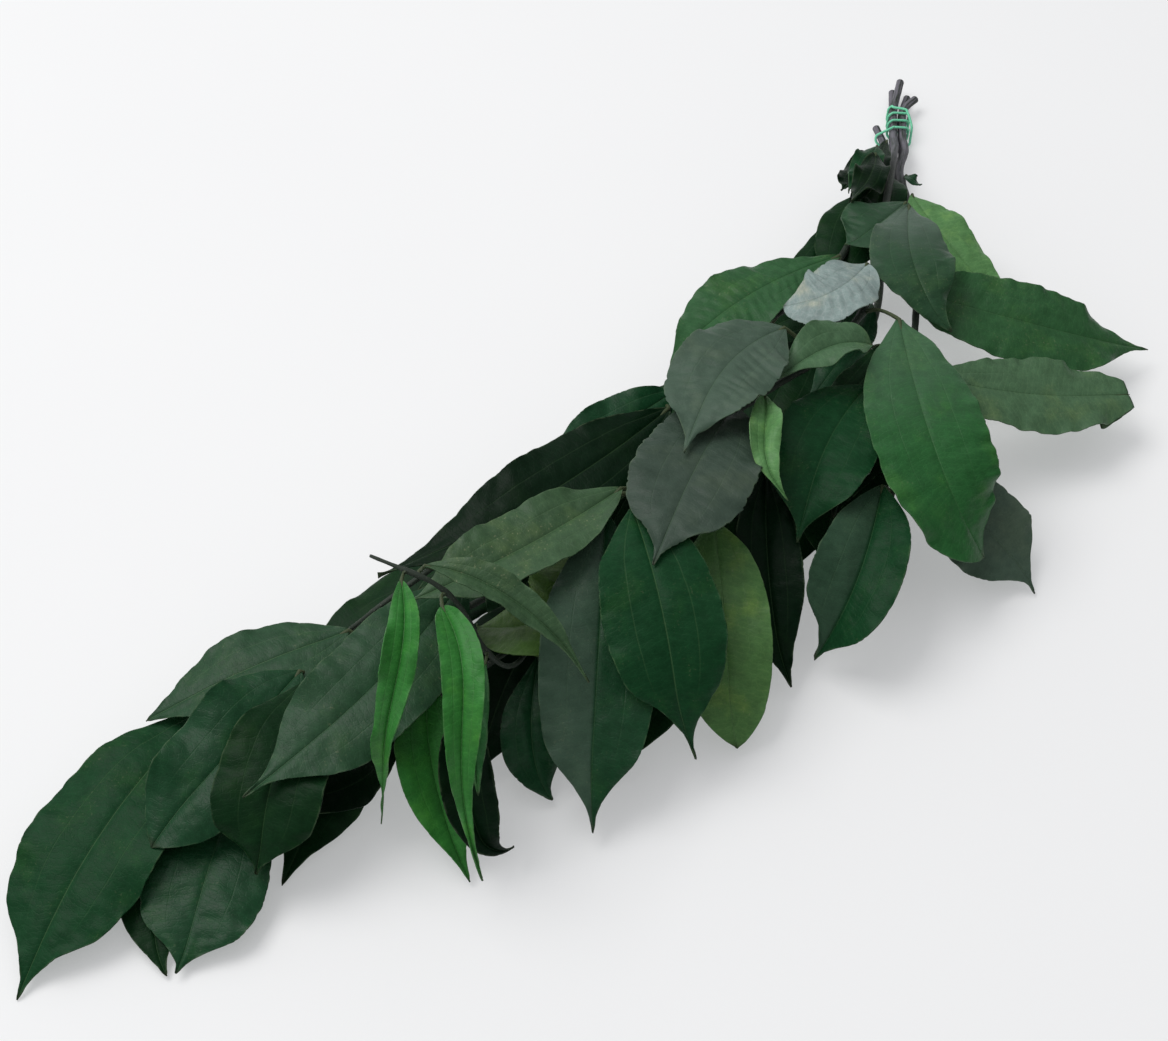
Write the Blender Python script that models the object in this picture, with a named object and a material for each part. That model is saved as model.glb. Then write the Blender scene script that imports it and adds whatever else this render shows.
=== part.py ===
# Bunch of preserved cocculus branches: five leafy stems laid flat and held at their cut ends
# by a green elastic band wound four times round them. Evergreen leaves with three main veins,
# waved margins and long drip tips hang from each stem in layers.
#
# Frame: the bunch lies on the surface z = 0. The butts and the band are at the -X end, the
# leafy tips at the +X end, and the origin is under the middle of the bounding box.
# All tables are in millimetres with x and y from the band's centre. The solids are in metres.

import math

import bmesh
import bpy
import numpy as np

for item in list(bpy.data.objects):
    bpy.data.objects.remove(item, do_unlink=True)

MM = 0.001
UP = np.array((0.0, 0.0, 1.0))

# Driving sizes, mm
BLADE_THICK = 0.7       # leaf blade, thicker than the 0.4 of a real one so that it prints
LEAF_GAP = 1.3          # air kept between a blade and what lies under it
STEM_RADIUS = 2.0       # cut stems at the band
STEM_SIDES = 5
STEM_STEP = 24.0        # length of one straight run of stem
STALK_SIDES = 3
STALK_RADII = (1.4, 1.3, 1.0)
CORD_RADIUS = 0.65      # elastic band
CORD_SEAT = 3.1         # band's centre line from a stem's centre line
CORD_TURNS = 3.6        # turns wound forward, the rest of the fourth runs back over them
CORD_STEPS = 20         # straight runs in a turn
CORD_START = 110.0      # degrees, where the band's winding starts and ends
CORD_ALONG = (-19.0, 3.0)
TIE_HEADING = 32.0      # degrees from +X, the way the stems run through the band

# Stems through the band, in its own frame: along, across, height
BUTTS = {
    1: [(-31, 10, 7.2), (-20, 3.4, 8.3), (-8, 2.9, 8.3), (4, 2.9, 8.6), (18, 3.8, 11.5)],
    2: [(-43, 1.6, 9), (-20, -1.9, 8.3), (-8, -1.9, 8.3), (4, -1.8, 8.8), (18, -1.8, 14.5)],
    3: [(-9, -11, 3.8), (4, -6.9, 3.9), (18, -7.2, 8)],
    4: [(-40, -2.2, 3.8), (-20, -2, 3.8), (-8, -2, 3.8), (4, -1.9, 3.9), (18, -1.6, 7)],
    5: [(-37, 6, 2.8), (-20, 2.7, 3.8), (-8, 2.7, 3.8), (4, 2.7, 3.9), (18, 2.2, 3.2)],
}

# Stems beyond the band: x, y, height, radius. The first run goes on from the butt, the others
# are its side twigs.
STEMS = {
    1: [[(36, 23, 17, 2.0), (73, 51, 31, 1.9), (110, 77, 41, 1.8), (150, 99, 47, 1.7),
         (185, 118, 49, 1.5), (225, 138, 46, 1.3), (255, 150, 40, 1.0)]],
    2: [[(36, 18, 24, 2.0), (72, 36, 38, 1.9), (105, 52, 48, 1.9), (138, 69, 57, 1.8),
         (175, 84, 62, 1.7), (215, 87, 67, 1.6), (252, 81, 70, 1.5), (290, 72, 68, 1.4),
         (330, 65, 62, 1.1)],
        [(138, 69, 57, 1.4), (146, 82, 61, 1.3), (152, 90, 63, 1.1)]],
    3: [[(36, 13, 15, 2.0), (70, 26, 25, 1.9), (105, 38, 36, 1.9), (140, 48, 45, 1.8),
         (180, 48, 49, 1.8), (225, 38, 48, 1.7), (270, 32, 47, 1.6), (320, 27, 47, 1.5),
         (370, 22, 50, 1.4), (402, 20, 54, 1.3), (430, 12, 48, 1.1), (446, 4, 38, 1.0)]],
    4: [[(36, 20, 13, 2.0), (72, 37, 20, 1.9), (110, 57, 29, 1.9), (150, 78, 36, 1.8),
         (200, 94, 41, 1.7), (245, 100, 44, 1.7), (290, 98, 46, 1.6), (330, 88, 46, 1.5),
         (370, 78, 45, 1.4), (400, 70, 44, 1.3), (430, 64, 44, 1.2), (455, 58, 45, 1.1),
         (472, 48, 42, 0.9)],
        [(398, 71, 44, 1.3), (424, 76, 50, 1.3), (433, 70, 64, 1.2), (432, 58, 80, 1.2),
         (434, 47, 90, 1.1), (438, 34, 94, 1.0), (441, 18, 94, 0.8)]],
    5: [[(40, 16, 3.5, 2.0), (75, 31, 7, 1.9), (120, 48, 11, 1.9), (170, 61, 15, 1.8),
         (220, 66, 17, 1.7), (280, 58, 19, 1.7), (340, 44, 21, 1.6), (400, 27, 23, 1.5),
         (450, 11, 25, 1.4), (490, -4, 25, 1.3), (512, -12, 23, 1.1)],
        [(470, 4, 25, 1.3), (480, 14, 28, 1.1), (488, 19, 29, 0.9)],
        [(500, -8, 24, 1.2), (525, 4, 18, 1.1), (543, 9, 13, 0.9)]],
}

# A blade's half width as a share of its widest, from its base (0) to its tip (1)
OUTLINE_AT = (0.0, 0.06, 0.18, 0.33, 0.45, 0.60, 0.74, 0.85, 0.93, 1.0)
OUTLINE = (0.06, 0.30, 0.72, 0.97, 1.00, 0.90, 0.61, 0.30, 0.12, 0.03)

# Rows and columns of facets: a leaf in sight, one hidden under the others, and across a slim one
ROWS = np.array((0.0, 0.08, 0.21, 0.37, 0.54, 0.70, 0.85, 1.0))
COLS = np.array((-1.0, -0.5, 0.0, 0.5, 1.0))
PLAIN_ROWS = np.array((0.0, 0.12, 0.33, 0.6, 0.82, 1.0))
FEW_COLS = np.array((-1.0, 0.0, 1.0))
SLIM = 30

ALL = (1, 2, 3, 4, 5)

# Leaves from the lowest to the topmost: stem, base, crest (middle of the midrib), tip, width
# and what is its own. under = stems that pass over the leaf, so that it isn't laid on them.
# roll, fold, curl = degrees. hook, wave = mm. belly above 1 moves the widest place to the tip.
LEAVES = [
    (5, (285, 52, 0.35), (330, 58, 0.35), (382, 72, 0.35), 46,
     dict(fold=0, curl=0, wave=0, under=ALL)),
    (5, (130, 44, 10), (175, 24, 8), (222, 4, 0.4), 40, dict(under=ALL, plain=True)),
    (3, (185, 40, 32), (230, 30, 22), (280, 8, 6), 44, dict(under=ALL, plain=True)),
    (3, (98, 28, 26), (150, 34, 18), (205, 36, 10), 36, dict(under=ALL, plain=True)),
    (5, (212, 74, 13), (255, 100, 10), (305, 118, 0.4), 46, dict(under=ALL, plain=True)),
    (5, (365, 30, 18), (410, 2, 14), (455, -24, 0.4), 46, dict(under=ALL, plain=True)),
    (5, (405, 34, 20), (440, 56, 12), (478, 82, 0.4), 44, dict(under=ALL, plain=True)),
    (5, (330, 50, 14), (345, 95, 12), (365, 128, 0.4), 40, dict(under=ALL, plain=True)),
    (4, (335, 96, 36), (380, 112, 22), (425, 122, 3), 42, dict(under=ALL, plain=True)),
    (3, (300, 26, 36), (350, 14, 24), (400, 0, 10), 36, dict(under=ALL, plain=True)),
    (5, (452, 16, 26), (495, 34, 16), (540, 48, 3), 42, dict(under=ALL, plain=True)),
    (3, (45, 8, 16), (75, 17, 18), (90, 21, 8), 12, {}),
    (1, (69, 48, 33), (85, 84, 30), (96, 136, 8), 30, dict(under=(1,))),
    (1, (220, 149, 36), (223, 183, 24), (221, 214, 3), 44, dict(roll=12, hook=-3, under=ALL)),
    (5, (512, -13, 20), (534, -2, 12), (559, 12, 3), 44, dict(under=ALL)),
    (5, (530, -18, 14), (573, 11, 9), (599, 38, 1), 32, dict(under=ALL)),
    (5, (520, 8, 15), (564, 29, 10), (594, 44, 1), 50, dict(under=ALL)),
    (4, (466, 49, 24), (496, 36, 16), (516, 16, 8), 40, dict(under=ALL)),
    (3, (264, 43, 56), (304, 33, 54), (331, 10, 38), 28, dict(roll=-25)),
    (4, (376, 63, 34), (417, 67, 24), (456, 81, 5), 54, dict(under=ALL)),
    (4, (403, 73, 32), (433, 92, 20), (443, 110, 3), 26, dict(belly=1.2, under=ALL)),
    (4, (275, 99, 47), (316, 130, 32), (338, 157, 4), 30, dict(fold=20)),
    (3, (278, 48, 58), (356, 37, 60), (423, 3, 42), 42, dict(roll=-15)),
    (4, (352, 69, 50), (394, 74, 46), (410, 46, 32), 44, {}),
    (1, (136, 84, 47), (111, 143, 38), (66, 185, 10), 44, dict(roll=15)),
    (1, (183, 120, 50), (146, 166, 33), (95, 205, 18), 41, dict(roll=10, tuck=0.86, belly=1.2)),
    (4, (188, 101, 34), (239, 116, 24), (277, 136, 8), 46, dict(under=ALL)),
    (1, (249, 143, 44), (295, 160, 33), (320, 158, 3), 41, dict(fold=28)),
    (4, (187, 97, 38), (223, 112, 34), (256, 127, 20), 40, dict(under=ALL)),
    (3, (154, 75, 48), (191, 86, 50), (230, 87, 44), 20, dict(under=(2,))),
    (4, (180, 98, 52), (216, 104, 53), (252, 94, 48), 20, dict(under=(2,))),
    (4, (211, 110, 57), (258, 117, 59), (297, 132, 44), 46, dict(fold=14, under=(2,))),
    (4, (314, 98, 54), (351, 131, 39), (378, 155, 5), 42, dict(belly=1.15)),
    (5, (507, -24, 24), (579, -15, 22), (639, 1, 1), 56, dict(belly=1.2)),
    (5, (447, 6, 35), (490, -17, 34), (526, -37, 20), 38, {}),
    (5, (476, 5, 38), (521, 7, 36), (567, 4, 24), 42, dict(fold=12, wave=3, roll=-12)),
    (5, (481, 12, 42), (526, 34, 36), (547, 45, 5), 42, dict(fold=12)),
    (4, (453, 55, 55), (476, 76, 32), (493, 107, 3), 30, dict(fold=25)),
    (4, (447, 72, 55), (477, 95, 33), (483, 116, 6), 26, dict(hook=11, fold=40)),
    (4, (439, 74, 64), (463, 87, 58), (475, 101, 36), 16, dict(fold=45)),
    (3, (408, 37, 60), (472, 42, 58), (536, 29, 46), 46, dict(belly=1.15, under=(4,), roll=-12)),
    (3, (143, 51, 54), (196, 33, 57), (249, 27, 52), 38, dict(belly=1.35)),
    (1, (89, 55, 50), (120, 55, 55), (135, 50, 50), 34, {}),
    (1, (95, 60, 54), (139, 89, 64), (156, 120, 52), 36, {}),
    (2, (152, 71, 67), (182, 70, 71), (196, 54, 64), 30, {}),
    (3, (34, 12, 26), (75, 26, 35), (105, 33, 32), 11, dict(wave=2.2)),
    (1, (42, 30, 22), (45, 36, 24), (40, 39, 18), 8, dict(wave=0.6)),
    (2, (173, 102, 64), (231, 157, 62), (241, 193, 26), 58, dict(belly=1.15)),
    (2, (199, 103, 70), (219, 91, 77), (251, 82, 72), 26, dict(fold=48)),
    (2, (347, 65, 61), (407, 106, 43), (449, 133, 4), 52, dict(belly=1.25)),
    (2, (343, 76, 70), (380, 120, 62), (403, 147, 14), 50, dict(belly=1.15, hook=7)),
    (2, (270, 77, 73), (319, 89, 79), (364, 103, 72), 50, {}),
    (2, (260, 86, 76), (284, 102, 78), (301, 124, 68), 24, dict(fold=60)),
    (2, (223, 71, 79), (267, 68, 85), (312, 82, 81), 46, {}),
    (2, (335, 64, 70), (392, 52, 74), (439, 31, 71), 36, dict(fold=20, under=(4,))),
    (4, (442, 56, 92), (474, 92, 82), (499, 117, 22), 26, dict(fold=50, belly=0.75)),
    (4, (431, 38, 93), (420, 72, 88), (418, 112, 64), 24, dict(fold=50)),
    (4, (444, 37, 96), (480, 63, 84), (498, 65, 14), 22, dict(fold=55, belly=0.85)),
]
LEAF_HABIT = dict(roll=0, fold=6, curl=-14, wave=1.6, hook=0, belly=1.0, tuck=0, under=(),
                  plain=False)

# Height map used to lay the leaves on one another
CELL = 2.0
MAP_CORNER = (-80.0, -120.0)
MAP_SIZE = (400, 200)
FINE_U = np.linspace(0, 1, 65)
FINE_V = np.linspace(-1, 1, 25)


def unit(vectors):
    length = np.linalg.norm(vectors, axis=-1, keepdims=True)
    return vectors / np.maximum(length, 1e-9)


def from_tie(along, across, height):
    """Point of the band's own frame in the bunch's frame."""
    c = math.cos(math.radians(TIE_HEADING))
    s = math.sin(math.radians(TIE_HEADING))
    return (c * along - s * across, s * along + c * across, height)


def smooth_path(points):
    """Even curve through points (x, y, z, radius), in runs about STEM_STEP long."""
    p = np.array(points, float)
    p = np.vstack([2 * p[0] - p[1], p, 2 * p[-1] - p[-2]])
    out = []
    for i in range(1, len(p) - 2):
        a, b, c, d = p[i - 1:i + 3]
        runs = max(1, int(round(np.linalg.norm(c[:3] - b[:3]) / STEM_STEP)))
        for k in range(runs):
            t = k / runs
            bend = (2 * a - 5 * b + 4 * c - d) * t * t + (3 * b - a - 3 * c + d) * t ** 3
            out.append(0.5 * (2 * b + (c - a) * t + bend))
    out.append(p[-2])
    return np.array(out)


def stem_paths():
    paths = {}
    for number, runs in STEMS.items():
        butt = [from_tie(*point) + (STEM_RADIUS,) for point in BUTTS[number]]
        paths[number] = [smooth_path(butt + runs[0])]
        for twig in runs[1:]:
            paths[number].append(smooth_path(twig))
    return paths


def leaf_rows():
    """The table's rows as dictionaries, each with the phase of its margin's waves."""
    rows = []
    for index, (stem, base, crest, tip, width, own) in enumerate(LEAVES):
        row = dict(LEAF_HABIT, **own)
        row.update(stem=stem, base=np.array(base, float), crest=np.array(crest, float),
                   tip=np.array(tip, float), width=width, phase=1.7 * index)
        rows.append(row)
    return rows


def blade(leaf, u, v):
    """Middle surface of a blade: u from base (0) to tip (1), v across it (-1 to 1)."""
    u, v = np.broadcast_arrays(np.asarray(u, float), np.asarray(v, float))
    under = np.zeros_like(u)
    if leaf["tuck"]:
        # the last of the blade folds back under it
        under = np.clip(u - leaf["tuck"], 0, 1)
        u = np.where(u > leaf["tuck"], 2 * leaf["tuck"] - u, u)
    base, tip = leaf["base"], leaf["tip"]
    control = 2 * leaf["crest"] - (base + tip) / 2
    w = u[..., None]
    middle = (1 - w) ** 2 * base + 2 * w * (1 - w) * control + w ** 2 * tip
    forward = unit((1 - w) * (control - base) + w * (tip - control))
    side = unit(np.cross(UP, forward))
    normal = np.cross(forward, side)
    roll = math.radians(leaf["roll"])
    side, normal = (math.cos(roll) * side + math.sin(roll) * normal,
                    math.cos(roll) * normal - math.sin(roll) * side)
    half = 0.5 * leaf["width"] * np.interp(u ** leaf["belly"], OUTLINE_AT, OUTLINE)
    out = np.abs(v)
    fold = math.radians(leaf["fold"])
    curl = math.radians(leaf["curl"])
    if leaf["curl"]:
        across = (np.sin(fold + curl * out) - math.sin(fold)) / curl
        rise = (math.cos(fold) - np.cos(fold + curl * out)) / curl
    else:
        across = out * math.cos(fold)
        rise = out * math.sin(fold)
    wave = np.sin(2 * math.pi * 2.4 * u + leaf["phase"] + 1.9 * (v > 0))
    wave = leaf["wave"] * out ** 2 * wave * np.sqrt(np.sin(math.pi * np.clip(u, 0, 1)))
    points = middle + (half * across * np.sign(v))[..., None] * side
    points = points + (half * rise + wave)[..., None] * normal
    near_tip = np.clip((u - 0.72) / 0.28, 0, 1)[..., None] ** 2
    points = points + leaf["hook"] * near_tip * side
    return points - (2.0 * (under > 0) + 14 * under)[..., None] * normal


def weights(stations, samples):
    """Shares of the stations in samples that lie between them."""
    out = np.zeros((len(samples), len(stations)))
    for i, s in enumerate(samples):
        k = min(max(np.searchsorted(stations, s) - 1, 0), len(stations) - 2)
        share = (s - stations[k]) / (stations[k + 1] - stations[k])
        out[i, k] = 1 - share
        out[i, k + 1] = share
    return out


def grid_normals(grid):
    return unit(np.cross(np.gradient(grid, axis=0), np.gradient(grid, axis=1)))


def map_cells(points):
    i = ((points[..., 0] - MAP_CORNER[0]) / CELL).astype(int)
    j = ((points[..., 1] - MAP_CORNER[1]) / CELL).astype(int)
    return np.clip(i, 1, MAP_SIZE[0] - 2), np.clip(j, 1, MAP_SIZE[1] - 2)


def stamp(heights, points, tops, reach):
    i, j = map_cells(points)
    for a in range(-reach, reach + 1):
        for b in range(-reach, reach + 1):
            np.maximum.at(heights, (i + a, j + b), tops)


def steepness(fine):
    """How much taller a blade's thickness stands on a slope."""
    return 1 / np.clip(np.abs(grid_normals(fine)[..., 2]), 0.35, 1)


def lay(leaf, leaf_map, stem_maps):
    """Grid of a blade, raised just enough to lie clear on what is under it."""
    rows = PLAIN_ROWS if leaf["plain"] else ROWS
    cols = FEW_COLS if leaf["plain"] or leaf["width"] <= SLIM else COLS
    share_u = weights(rows, FINE_U)
    share_v = weights(cols, FINE_V)
    grid = blade(leaf, rows[:, None], cols[None, :])
    fine = np.einsum("ai,ijk,bj->abk", share_u, grid, share_v)
    half = steepness(fine) * BLADE_THICK / 2
    i, j = map_cells(fine)
    floor = np.where(leaf_map[i, j] > 0, leaf_map[i, j] + LEAF_GAP + half, half)
    for stem, heights in stem_maps.items():
        if stem in leaf["under"]:
            continue
        over = np.where(heights[i, j] > 0, heights[i, j] + LEAF_GAP + half, 0)
        if stem == leaf["stem"]:
            # its stalk rises from this stem
            over[FINE_U < 0.16] = 0
        floor = np.maximum(floor, over)
    need = floor - fine[..., 2]
    lift = np.zeros(grid.shape[:2])
    near_u = share_u.T > 0.25
    near_v = share_v.T > 0.25

    def missing(lift):
        gap = np.maximum(need - share_u @ lift @ share_v.T, 0)
        up = np.zeros_like(lift)
        for r in range(len(rows)):
            row = gap[near_u[r]].max(axis=0)
            for c in range(len(cols)):
                up[r, c] = row[near_v[c]].max()
        return up, gap.max()

    if need.max() > 0:
        for step in range(90):
            lift = lift + 0.5 * missing(lift)[0]
            for _ in range(2):
                pad = np.pad(lift, 1, mode="edge")
                mean = (pad[:-2, 1:-1] + pad[2:, 1:-1] + pad[1:-1, :-2] + pad[1:-1, 2:]) / 4
                lift = 0.4 * lift + 0.6 * mean
            lift *= 0.985
        for step in range(12):
            up, worst = missing(lift)
            lift = lift + up
            if worst < 0.02:
                break
    grid[..., 2] += lift
    fine[..., 2] += share_u @ lift @ share_v.T
    return grid, fine


def outward(verts, faces):
    """Faces turned outward: a closed mesh then has a positive volume."""
    a, b, c = verts[faces[:, 0]], verts[faces[:, 1]], verts[faces[:, 2]]
    if np.einsum("ij,ij->i", a, np.cross(b, c)).sum() < 0:
        return verts, faces[:, ::-1]
    return verts, faces


def blade_solid(grid):
    """Closed blade: both faces split into the same triangles, with a rim between them."""
    normal = grid_normals(grid)
    rows, cols = grid.shape[:2]
    if normal[rows // 2, cols // 2, 2] < 0:
        normal = -normal
    top = grid + normal * BLADE_THICK / 2
    low = grid - normal * BLADE_THICK / 2
    low[..., 2] = np.where(low[..., 2] < 0.3, 0.0, low[..., 2])
    verts = np.concatenate([top.reshape(-1, 3), low.reshape(-1, 3)])
    count = rows * cols
    place = np.arange(count).reshape(rows, cols)
    faces = []
    for r in range(rows - 1):
        for c in range(cols - 1):
            a, b, d, e = place[r, c], place[r + 1, c], place[r + 1, c + 1], place[r, c + 1]
            pair = [(a, b, d), (a, d, e)] if c < cols // 2 else [(a, b, e), (b, d, e)]
            for i, j, k in pair:
                faces.append((i, j, k))
                faces.append((i + count, k + count, j + count))
    ring = list(place[:, 0]) + list(place[-1, 1:]) + list(place[-2::-1, -1])
    ring += list(place[0, -2:0:-1])
    for a, b in zip(ring, ring[1:] + ring[:1]):
        faces.append((a, a + count, b + count))
        faces.append((a, b + count, b))
    return outward(verts, np.array(faces))


def tube_solid(path, radii, sides, closed=False):
    """Tube along a path. An open one has flat ends, a closed one joins up."""
    path = np.asarray(path, float)
    count = len(path)
    if closed:
        forward = unit(np.roll(path, -1, axis=0) - np.roll(path, 1, axis=0))
    else:
        forward = unit(np.gradient(path, axis=0))
    side = np.cross(forward[0], UP)
    frames = []
    for point, along, radius in zip(path, forward, radii):
        side = unit(side - along * np.dot(side, along))
        frames.append((point, along, side, radius))
    turn = 0.0
    if closed:
        # the twist left over after a full lap is shared out along it
        point, along, first, radius = frames[0]
        back = unit(side - along * np.dot(side, along))
        turn = -math.atan2(np.dot(np.cross(first, back), along), np.dot(first, back))
    verts = []
    for index, (point, along, side, radius) in enumerate(frames):
        up = np.cross(along, side)
        for k in range(sides):
            angle = 2 * math.pi * k / sides + turn * index / count
            verts.append(point + radius * (math.cos(angle) * side + math.sin(angle) * up))
    verts = np.array(verts)
    verts[:, 2] = np.maximum(verts[:, 2], 0.15 if not closed else 0.0)
    faces = []
    for i in range(count if closed else count - 1):
        for k in range(sides):
            a, b = i * sides + k, i * sides + (k + 1) % sides
            c, d = (a + sides) % len(verts), (b + sides) % len(verts)
            faces += [(a, b, d), (a, d, c)]
    if not closed:
        last = (count - 1) * sides
        for k in range(1, sides - 1):
            faces += [(0, k + 1, k), (last, last + k, last + k + 1)]
    return outward(verts, np.array(faces))


def stalk_path(grid, runs):
    """Leaf stalk: from the nearest place on the stem into the blade's midrib."""
    rib = grid[:, grid.shape[1] // 2]
    base = rib[0]
    nearest = None
    for run in runs:
        for a, b in zip(run[:-1, :3], run[1:, :3]):
            t = np.clip(np.dot(base - a, b - a) / np.dot(b - a, b - a), 0, 1)
            root = a + t * (b - a)
            distance = np.linalg.norm(base - root)
            if nearest is None or distance < nearest[0]:
                nearest = (distance, root)
    distance, root = nearest
    bend = (root + base) / 2 - unit(rib[1] - base) * min(distance * 0.25, 6)
    return np.array((root, bend, base + 0.5 * (rib[1] - base)))


def cord_path(paths):
    """Closed line of the elastic band round the stems."""
    c = math.cos(math.radians(TIE_HEADING))
    s = math.sin(math.radians(TIE_HEADING))
    lines = {}
    for stem, runs in paths.items():
        run = runs[0]
        along = c * run[:, 0] + s * run[:, 1]
        across = c * run[:, 1] - s * run[:, 0]
        lines[stem] = (along, across, run[:, 2])

    def seat(along, degrees, raised):
        direction = np.array((math.cos(math.radians(degrees)), math.sin(math.radians(degrees))))
        best = None
        for stem, (way, across, height) in lines.items():
            if stem == 3 and along < -1:
                # the third stem's butt stands outside the upper turns
                continue
            centre = np.array((np.interp(along, way, across), np.interp(along, way, height)))
            reach = np.dot(centre, direction)
            if best is None or reach > best[0]:
                best = (reach, centre)
        point = best[1] + (CORD_SEAT + raised) * direction
        return from_tie(along, point[0], point[1])

    first, last = CORD_ALONG
    points = []
    steps = int(CORD_TURNS * CORD_STEPS)
    for k in range(steps):
        turns = k / CORD_STEPS
        points.append(seat(first + (last - first) * k / steps, CORD_START + 360 * turns, 0))
    back = 10
    for k in range(back):
        t = k / back
        turns = CORD_TURNS + (4 - CORD_TURNS) * t
        raised = 1.7 * min(1, t / 0.1, (1 - t) / 0.2)
        points.append(seat(last + (first - last) * t, CORD_START + 360 * turns, raised))
    return np.array(points)


def add_solid(name, verts, faces, collection):
    mesh = bpy.data.meshes.new(name)
    mesh.from_pydata((verts * MM).tolist(), [], faces.tolist())
    item = bpy.data.objects.new(name, mesh)
    collection.objects.link(item)
    return item


def fuse(name, solids):
    """One closed body from the overlapping solids of a stem."""
    scene = bpy.context.scene
    main = add_solid(name, *solids[0], scene.collection)
    others = bpy.data.collections.new(name + "_pieces")
    scene.collection.children.link(others)
    for index, (verts, faces) in enumerate(solids[1:]):
        add_solid(f"{name}_piece_{index}", verts, faces, others)
    union = main.modifiers.new("union", "BOOLEAN")
    union.operation = "UNION"
    union.operand_type = "COLLECTION"
    union.collection = others
    union.solver = "MANIFOLD"
    graph = bpy.context.evaluated_depsgraph_get()
    fused = bpy.data.meshes.new_from_object(main.evaluated_get(graph))
    main.modifiers.clear()
    main.data = fused
    fused.name = name
    for piece in list(others.objects):
        bpy.data.objects.remove(piece, do_unlink=True)
    bpy.data.collections.remove(others)
    return main


def keep_body(item):
    """Drop loose scraps and fill sealed hollows: only the largest shell stays."""
    work = bmesh.new()
    work.from_mesh(item.data)
    bmesh.ops.triangulate(work, faces=work.faces)
    work.verts.ensure_lookup_table()
    seen = set()
    shells = []
    for start in work.verts:
        if start in seen:
            continue
        seen.add(start)
        stack = [start]
        shell = []
        while stack:
            vert = stack.pop()
            shell.append(vert)
            for edge in vert.link_edges:
                other = edge.other_vert(vert)
                if other not in seen:
                    seen.add(other)
                    stack.append(other)
        shells.append(shell)
    shells.sort(key=len, reverse=True)
    for shell in shells[1:]:
        bmesh.ops.delete(work, geom=shell, context="VERTS")
    work.to_mesh(item.data)
    work.free()
    return len(shells)


def paint(item, colour, roughness):
    material = bpy.data.materials.new(item.name + "_material")
    material.use_nodes = True
    shader = material.node_tree.nodes["Principled BSDF"]
    shader.inputs["Base Color"].default_value = (*colour, 1)
    shader.inputs["Roughness"].default_value = roughness
    item.data.materials.clear()
    item.data.materials.append(material)


# Stems, side twigs, leaf stalks and blades
paths = stem_paths()
stem_maps = {}
for stem, runs in paths.items():
    heights = np.zeros(MAP_SIZE)
    for run in runs:
        for a, b in zip(run[:-1], run[1:]):
            dense = np.linspace(a, b, 12)
            stamp(heights, dense, dense[:, 2] + dense[:, 3], 1)
    stem_maps[stem] = heights

pieces = {stem: [] for stem in STEMS}
for stem, runs in paths.items():
    for run in runs:
        pieces[stem].append(tube_solid(run[:, :3], run[:, 3], STEM_SIDES))
leaf_map = np.zeros(MAP_SIZE)
for leaf in leaf_rows():
    grid, fine = lay(leaf, leaf_map, stem_maps)
    tops = fine[..., 2] + BLADE_THICK / 2 * steepness(fine)
    stamp(leaf_map, fine, tops, 0 if leaf["fold"] > 40 else 1)
    stalk = stalk_path(grid, paths[leaf["stem"]])
    pieces[leaf["stem"]].append(blade_solid(grid))
    pieces[leaf["stem"]].append(tube_solid(stalk, STALK_RADII, STALK_SIDES))

GREENS = {
    1: (0.040, 0.130, 0.045),
    2: (0.030, 0.105, 0.045),
    3: (0.020, 0.085, 0.030),
    4: (0.045, 0.150, 0.040),
    5: (0.025, 0.095, 0.035),
}
made = []
for stem in sorted(STEMS):
    branch = fuse(f"branch_{stem}", pieces[stem])
    keep_body(branch)
    paint(branch, GREENS[stem], 0.45)
    made.append(branch)

# Elastic band round the stems
cord = cord_path(paths)
verts, faces = tube_solid(cord, np.full(len(cord), CORD_RADIUS), 5, closed=True)
band = add_solid("tie_band", verts, faces, bpy.context.scene.collection)
paint(band, (0.16, 0.55, 0.33), 0.5)
made.append(band)

# The origin goes under the middle of the bounding box
corners = np.array([vert.co for item in made for vert in item.data.vertices])
low = corners.min(axis=0)
high = corners.max(axis=0)
shift = (-(low[0] + high[0]) / 2, -(low[1] + high[1]) / 2, -low[2])
for item in made:
    for vert in item.data.vertices:
        vert.co.x += shift[0]
        vert.co.y += shift[1]
        vert.co.z += shift[2]
    item.data.update()
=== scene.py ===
# A bunch of preserved cocculus branches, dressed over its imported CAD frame: five leafy stems
# tied at their cut ends with a green elastic band and laid flat on a pale table.
#
# Lengths in the tables are millimetres measured from the middle of the band, as in the CAD.

import math
from functools import partialmethod

import bpy
import numpy as np
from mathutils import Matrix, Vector


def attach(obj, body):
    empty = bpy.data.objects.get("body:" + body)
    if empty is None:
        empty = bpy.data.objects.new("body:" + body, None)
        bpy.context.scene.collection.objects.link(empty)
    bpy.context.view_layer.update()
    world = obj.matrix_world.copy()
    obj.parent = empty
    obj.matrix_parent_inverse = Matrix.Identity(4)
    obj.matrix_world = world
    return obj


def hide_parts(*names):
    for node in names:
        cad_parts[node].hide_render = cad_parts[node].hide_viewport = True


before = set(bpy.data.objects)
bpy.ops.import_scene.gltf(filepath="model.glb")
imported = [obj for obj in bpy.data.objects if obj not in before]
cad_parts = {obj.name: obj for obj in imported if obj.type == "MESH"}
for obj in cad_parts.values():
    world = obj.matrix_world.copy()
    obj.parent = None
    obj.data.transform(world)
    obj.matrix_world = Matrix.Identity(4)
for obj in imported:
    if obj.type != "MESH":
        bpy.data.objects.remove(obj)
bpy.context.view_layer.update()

# The table, the window light and the camera. The bunch lies on a plain pale table top and is
# seen from above at a slant, from its tied end's left. One large soft light stands behind it
# on the left, so the sheen lies on the leaves' far sides and the shadows fall to the right.

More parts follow.
